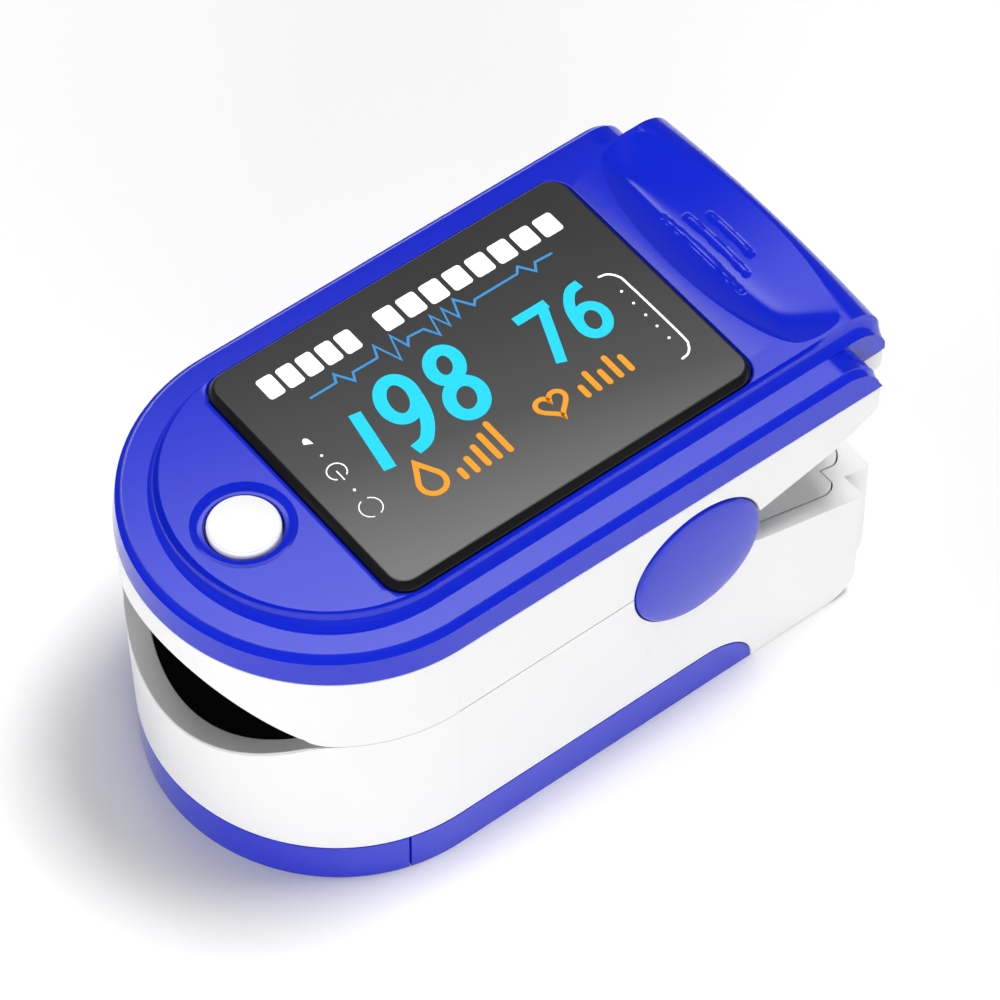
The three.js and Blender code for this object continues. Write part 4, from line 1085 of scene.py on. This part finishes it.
def deck(side, name, node):
    """The moulded frame in a jaw: finger channel, flanges, finger stop, hinge lugs and rear plate."""
    jaw, body = jaw_of(side)
    rise = LIP_RISE + DECK_THICK + 0.1
    flange = PARTING_Z + side * 0.2

    def heights(*values):
        return sorted(PARTING_Z + side * v for v in values)

    whole = prism(lip_band(side, 12.4, PAD_THICK + 0.1, 0.1 + DECK_THICK), "Y", -32, STOP_Y + 0.5)
    whole = join(
        whole,
        *pair(12.3, 17, -32, STOP_Y + 0.5, *sorted((flange, flange + side * 1.3))),
        block(-17, 17, STOP_Y, STOP_Y + 1, *heights(0.2, rise)),
        block(-17, 17, STOP_Y, BAY_END + 1, *heights(rise - 1, rise)),
    )
    whole = cut(whole, sensor_pocket(0.5), block(-2, 2, 10.2, 12.9, *heights(0, 12)))
    inner, outer = (13.5, 15.3) if side < 0 else (11.5, 13.2)
    for hand in (-1, 1):
        x = sorted((hand * inner, hand * outer))
        stem = block(*x, PIVOT_Y - 1.8, PIVOT_Y + 1.8, *heights(0, rise - 0.5))
        whole = join(whole, stem, cylinder(2.4, *x, 48))
    whole = join(whole, rear_plate(side, jaw, rise))
    if side < 0:
        for x, y in DECK_SCREWS:
            boss = post(1.65, x, y, 6.35, 14.2 if y > 0 else 18.2, 32)
            if y < 0:
                boss = cut(boss, prism(lip_band(side, 12.4, -9, PAD_THICK + 0.1), "Y", -32, STOP_Y))
            whole = join(whole, boss)
    else:
        lug_rooms = pair(13.2, 17, PIVOT_Y - 2.8, BAY_END + 1, PARTING_Z, 22.4)
        for x, lug_room in zip(COVER_SCREW_X, lug_rooms):
            whole = cut(join(whole, post(2.5, x, COVER_SCREW_Y, 24.0, 26.2, 32)), lug_room)
    whole = keep(whole, keep(skin(jaw, WALL + 0.1, 0, 40), block(-DECK_HALF, DECK_HALF, -FAR, FAR, -1, 50)))
    whole = cut(whole, cylinder(1.04, -FAR, FAR, 32))
    ahead = prism(lip_band(side, 12.5, -4, 1.9), "Y", -40, NOSE_Y - 4)
    whole = cut(whole, cut(ahead, skin(jaw, LIP_DEPTH + 0.12, 0, 40)))
    if side < 0:
        whole = cut(whole, *[post(0.85, x, y, 0, 13, 24) for x, y in DECK_SCREWS])
    else:
        for x in COVER_SCREW_X:
            shank, head = post(0.95, x, COVER_SCREW_Y, 20, 30, 24), post(1.6, x, COVER_SCREW_Y, 20, 25.2, 32)
            whole = cut(whole, shank, head)
    soften(whole, 0.07)
    return finished(whole, name, body, SATIN, [node])


# ---------- inside ----------

def wire(name, points, radius, body, material, node):
    """A round wire along a smooth path through points."""
    curve = bpy.data.curves.new(name, "CURVE")
    curve.dimensions = "3D"
    curve.bevel_depth = radius
    curve.bevel_resolution = 3
    curve.use_fill_caps = True
    line = curve.splines.new("POLY")
    path = smooth_path(points, 3)
    line.points.add(len(path) - 1)
    for target, p in zip(line.points, path):
        target.co = (*p, 1)
    source = linked(name + "_source", curve)
    graph = bpy.context.evaluated_depsgraph_get()
    mesh = bpy.data.meshes.new_from_object(source.evaluated_get(graph))
    bpy.data.objects.remove(source)
    return finished(linked(name, mesh), name, body, material, [node])


def torsion_spring(hand, name, node):
    """A torsion spring round the hinge, with an arm against each deck."""
    turns, x0, x1, radius = 4, 3.4, 7.4, 1.6
    start, end = 0.5, 0.1
    sweep = 2 * pi * turns + pi + start + end
    coil = []
    for t in [k / 80 for k in range(81)]:
        a = start - sweep * t
        coil.append((hand * (x0 + (x1 - x0) * t), PIVOT_Y + radius * sin(a), PARTING_Z + radius * cos(a)))
    inner, outer = hand * (x0 - 0.2), hand * (x1 + 0.2)
    upper = [(inner, y, z) for y, z in ((20.4, 20.85), (18.4, 20.3), (16.6, 19.8), (13.6, 19.15))]
    lower = [(outer, y, z) for y, z in ((13.4, 18.0), (15.4, 17.35), (18.0, 16.55), (20.6, 15.75))]
    obj = wire(name, [*upper, *coil, *lower], 0.35, None, STEEL, node)
    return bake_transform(obj)


def contact_spring(x, y0, y1, name, node):
    """A cone spring against the end of a cell."""
    points = []
    for t in [k / 56 for k in range(57)]:
        a, r = 2 * pi * 3.5 * t, 2.6 - 1.1 * t
        points.append((x + r * cos(a), y0 + (y1 - y0) * t, CELL_Z + r * sin(a)))
    return wire(name, points, 0.25, "lower_jaw", STEEL, node)


def cell_wrap():
    """A plain two-tone wrap with a ring at each end."""
    material, tree, shader, place = new_material("cell_wrap")
    split = add(tree, "SeparateXYZ", {"Vector": place}).outputs["Y"]
    along = to_range(tree, split, 0, 1, -0.023, 0.023)
    green, gold, steel = (0.01, 0.12, 0.05), (0.62, 0.36, 0.11), (0.55, 0.56, 0.57)
    stops = [(0.0, steel), (0.02, green), (0.74, green), (0.75, gold), (0.975, gold), (0.98, steel)]
    bands = ramp(tree, along, stops)
    bands.node.color_ramp.interpolation = "CONSTANT"
    fine = noise(tree, place, 700, 4.0)
    feed(tree, shader, {
        "Base Color": bands,
        "Roughness": to_range(tree, fine, 0.22, 0.34),
        "Normal": bump(tree, fine, 0.05, 0.00002),
        "Metallic": 0.75,
    })
    return material


def cell(name, node, nub_at_rear):
    low, high = span(node)
    centre = ((low[0] + high[0]) / 2, 0, (low[2] + high[2]) / 2)
    radius = (high[0] - low[0]) / 2
    y0, y1 = (low[1], high[1]) if nub_at_rear else (-high[1], -low[1])
    end = y1 - 0.8 - 0.2
    profile = [(0, y0 + 0.25), (3.4, y0 + 0.25), (3.8, y0), (radius - 0.45, y0)]
    profile += arc(radius - 0.45, y0 + 0.45, 0.45, 0.45, -60, 0, 2)
    profile += [(radius, end - 0.5), *arc(radius - 0.5, end - 0.5, 0.5, 0.5, 30, 90, 2)]
    profile += [(2.6, end), (2.3, end - 0.12), (1.95, end - 0.05), (1.9, y1 - 0.15), (1.7, y1), (0, y1)]
    if not nub_at_rear:
        profile = [(r, -h) for r, h in profile]
    obj = lathe(profile, centre, "Y", 64)
    return finished(obj, name, "lower_jaw", cell_wrap(), [node])


def screw(name, node, body):
    """A pan-head screw with a cross recess and a rolled thread."""
    low, high = span(node)
    cx, cy, z0 = (low[0] + high[0]) / 2, (low[1] + high[1]) / 2, low[2]
    length = high[2] - z0
    core, pitch = 0.62, 0.45
    profile = [(0, 0), (1.0, 0), (1.25, 0.12), (1.35, 0.35), (1.35, 0.72), (1.28, 0.8), (core, 0.8)]
    z = 1.0
    while z + pitch < length - 0.5:
        profile += [(core, z), (0.8, z + 0.5 * pitch), (core, z + 0.9 * pitch)]
        z += pitch
    profile += [(core, length - 0.5), (0.1, length), (0, length)]
    obj = lathe(profile, (cx, cy, z0), "Z", 32)
    for wide, deep in ((0.16, 0.75), (0.75, 0.16)):
        obj = cut(obj, block(cx - wide, cx + wide, cy - deep, cy + deep, z0 - 1, z0 + 0.45))
    return finished(obj, name, body, STEEL, [node])


def jaw_ribbon():
    path = smooth_path([(11.2, 12.4), (11.9, 15), (12.2, 19.1), (11.9, 23.2), (11.2, 26.2)], 8)
    around = [(-1.5, -0.05), (1.5, -0.05), (1.5, 0.05), (-1.5, 0.05)]
    obj = loft([[(x, y + dy, z) for x, dy in around] for y, z in path])
    finished(obj, "jaw_flex", None, FOIL, ["jaw_ribbon"])
    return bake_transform(obj)


def inside():
    for hand, side in ((1, "right"), (-1, "left")):
        torsion_spring(hand, f"spring_{side}", f"torsion_spring_{side}")
    contact_spring(-5.45, -24.65, -22.15, "cell_spring_front", "contact_spring_front")
    contact_spring(5.45, 24.35, 21.95, "cell_spring_rear", "contact_spring_rear")
    cell("battery_left", "cell_left", True)
    cell("battery_right", "cell_right", False)
    for k in range(1, 5):
        screw(f"deck_fastener_{k}", f"deck_screw_{k}", "lower_jaw")
        screw(f"board_fastener_{k}", f"board_screw_{k}", "upper_jaw")
    for k in (1, 2):
        screw(f"cover_fastener_{k}", f"cover_screw_{k}", "upper_jaw")
    jaw_ribbon()
    for material, nodes in (
        (STEEL, ["hinge_pin", "tact_switch"]),
        (NICKEL, ["contact_bridge", "contact_positive", "contact_negative"]),
        (EPOXY, ["photodiode", "processor_chip", "amplifier_chip", "power_chip"]),
        (LENS, ["light_emitter"]),
        (PANEL, ["display_module"]),
        (FOIL, ["display_ribbon"]),
        (BOARD, ["circuit_board"]),
    ):
        for node in nodes:
            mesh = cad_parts[node].data
            mesh.materials.clear()
            mesh.materials.append(material)


# ---------- studio ----------

def camera():
    data = bpy.data.cameras.new("camera")
    data.lens = 187.49
    data.sensor_width = 36
    data.clip_start = 0.02
    obj = linked("camera", data)
    right = Vector((0.61373, 0.78951, -0.00336))
    up = Vector((-0.62677, 0.48978, 0.60604))
    turn = Matrix((right, up, right.cross(up))).transposed().to_4x4()
    obj.matrix_world = Matrix.Translation((0.20576, -0.15569, 0.35584)) @ turn
    scene.camera = obj


def area_light(name, place, size, power):
    """A soft light aimed at the middle of the object. It lights surfaces, but isn't mirrored in them."""
    data = bpy.data.lights.new(name, "AREA")
    data.shape = "RECTANGLE"
    data.size, data.size_y = size
    data.energy = power
    obj = linked(name, data)
    obj.location = place
    direction = Vector((0, 0, 0.02)) - Vector(place)
    obj.rotation_euler = direction.to_track_quat("-Z", "Y").to_euler()
    obj.visible_glossy = False


MIRROR = np.array([-0.480, 0.370, 0.795])   # where flat tops mirror the camera's view
ACROSS = np.array([0.760, -0.228, 0.608])   # across the window light's edge


def dome():
    """A grey studio with a soft window of light that the flat tops mirror along its edge."""
    world = bpy.data.worlds.new("studio_dome")
    world.use_nodes = True
    tree = world.node_tree
    place = tree.nodes.new("ShaderNodeTexCoord").outputs["Generated"]

    def band(direction, start, end, low, high):
        towards = add(tree, "VectorMath", {0: place, 1: tuple(direction)}, "DOT_PRODUCT").outputs["Value"]
        result = to_range(tree, towards, low, high, start, end)
        result.node.interpolation_type = "SMOOTHSTEP"
        return result

    def combined(operation, a, b):
        return add(tree, "Math", {0: a, 1: b}, operation).outputs["Value"]

    edge = float(MIRROR @ ACROSS)
    window = band(ACROSS, edge - 0.055, edge + 0.025, 0.0, 1.0)
    window = combined("MULTIPLY", window, band(ACROSS, edge + 0.04, edge + 0.18, 1.0, 0.0))
    window = combined("MULTIPLY", window, band(MIRROR, 0.92, 0.97, 0.0, 2.9))
    total = combined("ADD", window, band((0, 0, 1), 0.0, 0.8, 0.14, 0.06))
    feed(tree, tree.nodes["Background"], {"Color": (1, 1, 1, 1), "Strength": total})
    return world


def studio():
    floor = prism([(-4000, -4000), (4000, -4000), (4000, 4000), (-4000, 4000)], "Z", -20, -0.02)
    floor.name = "floor"
    floor.data.name = "floor"
    floor.data.transform(Matrix.Scale(MM, 4))
    floor.data.materials.append(moulded("floor_paper", (0.90, 0.90, 0.90), (0.92, 0.92, 0.92), (0.8, 0.9),
                                        grain=400, strength=0.02, patch=2))
    scene.world = dome()
    area_light("softbox_top", (0.07, 0.27, 0.97), (0.32, 0.26), 7.6)
    area_light("softbox_right", (0.95, -0.55, 0.30), (0.8, 0.5), 7.6)
    area_light("softbox_left", (-0.45, -0.85, 0.52), (0.8, 0.5), 4.3)
    area_light("softbox_rim", (-0.85, 0.40, 0.30), (0.35, 0.2), 0.8)
    scene.view_settings.view_transform = "Standard"
    scene.view_settings.look = "None"
    scene.view_settings.exposure = 0
    scene.view_settings.gamma = 1


camera()
top_cover()
display_glass()
display_marks()
power_button()
pivot_cap(1, "hinge_disc_right", "pivot_cap_right")
pivot_cap(-1, "hinge_disc_left", "pivot_cap_left")
upper_shell()
lower_shell()
battery_door()
door_trim()
finished(lip(-1, 0.0), "lip_lower", "lower_jaw", GREY, ["lower_lip"])
finished(lip(1, 0.3), "lip_upper", "upper_jaw", GREY, ["upper_lip"])
finger_pad(-1, "pad_lower", "lower_finger_pad")
finger_pad(1, "pad_upper", "upper_finger_pad")
sensor_window(-1, "lens_lower", "detector_window")
sensor_window(1, "lens_upper", "emitter_window")
deck(-1, "frame_lower", "lower_deck")
deck(1, "frame_upper", "upper_deck")
inside()
studio()
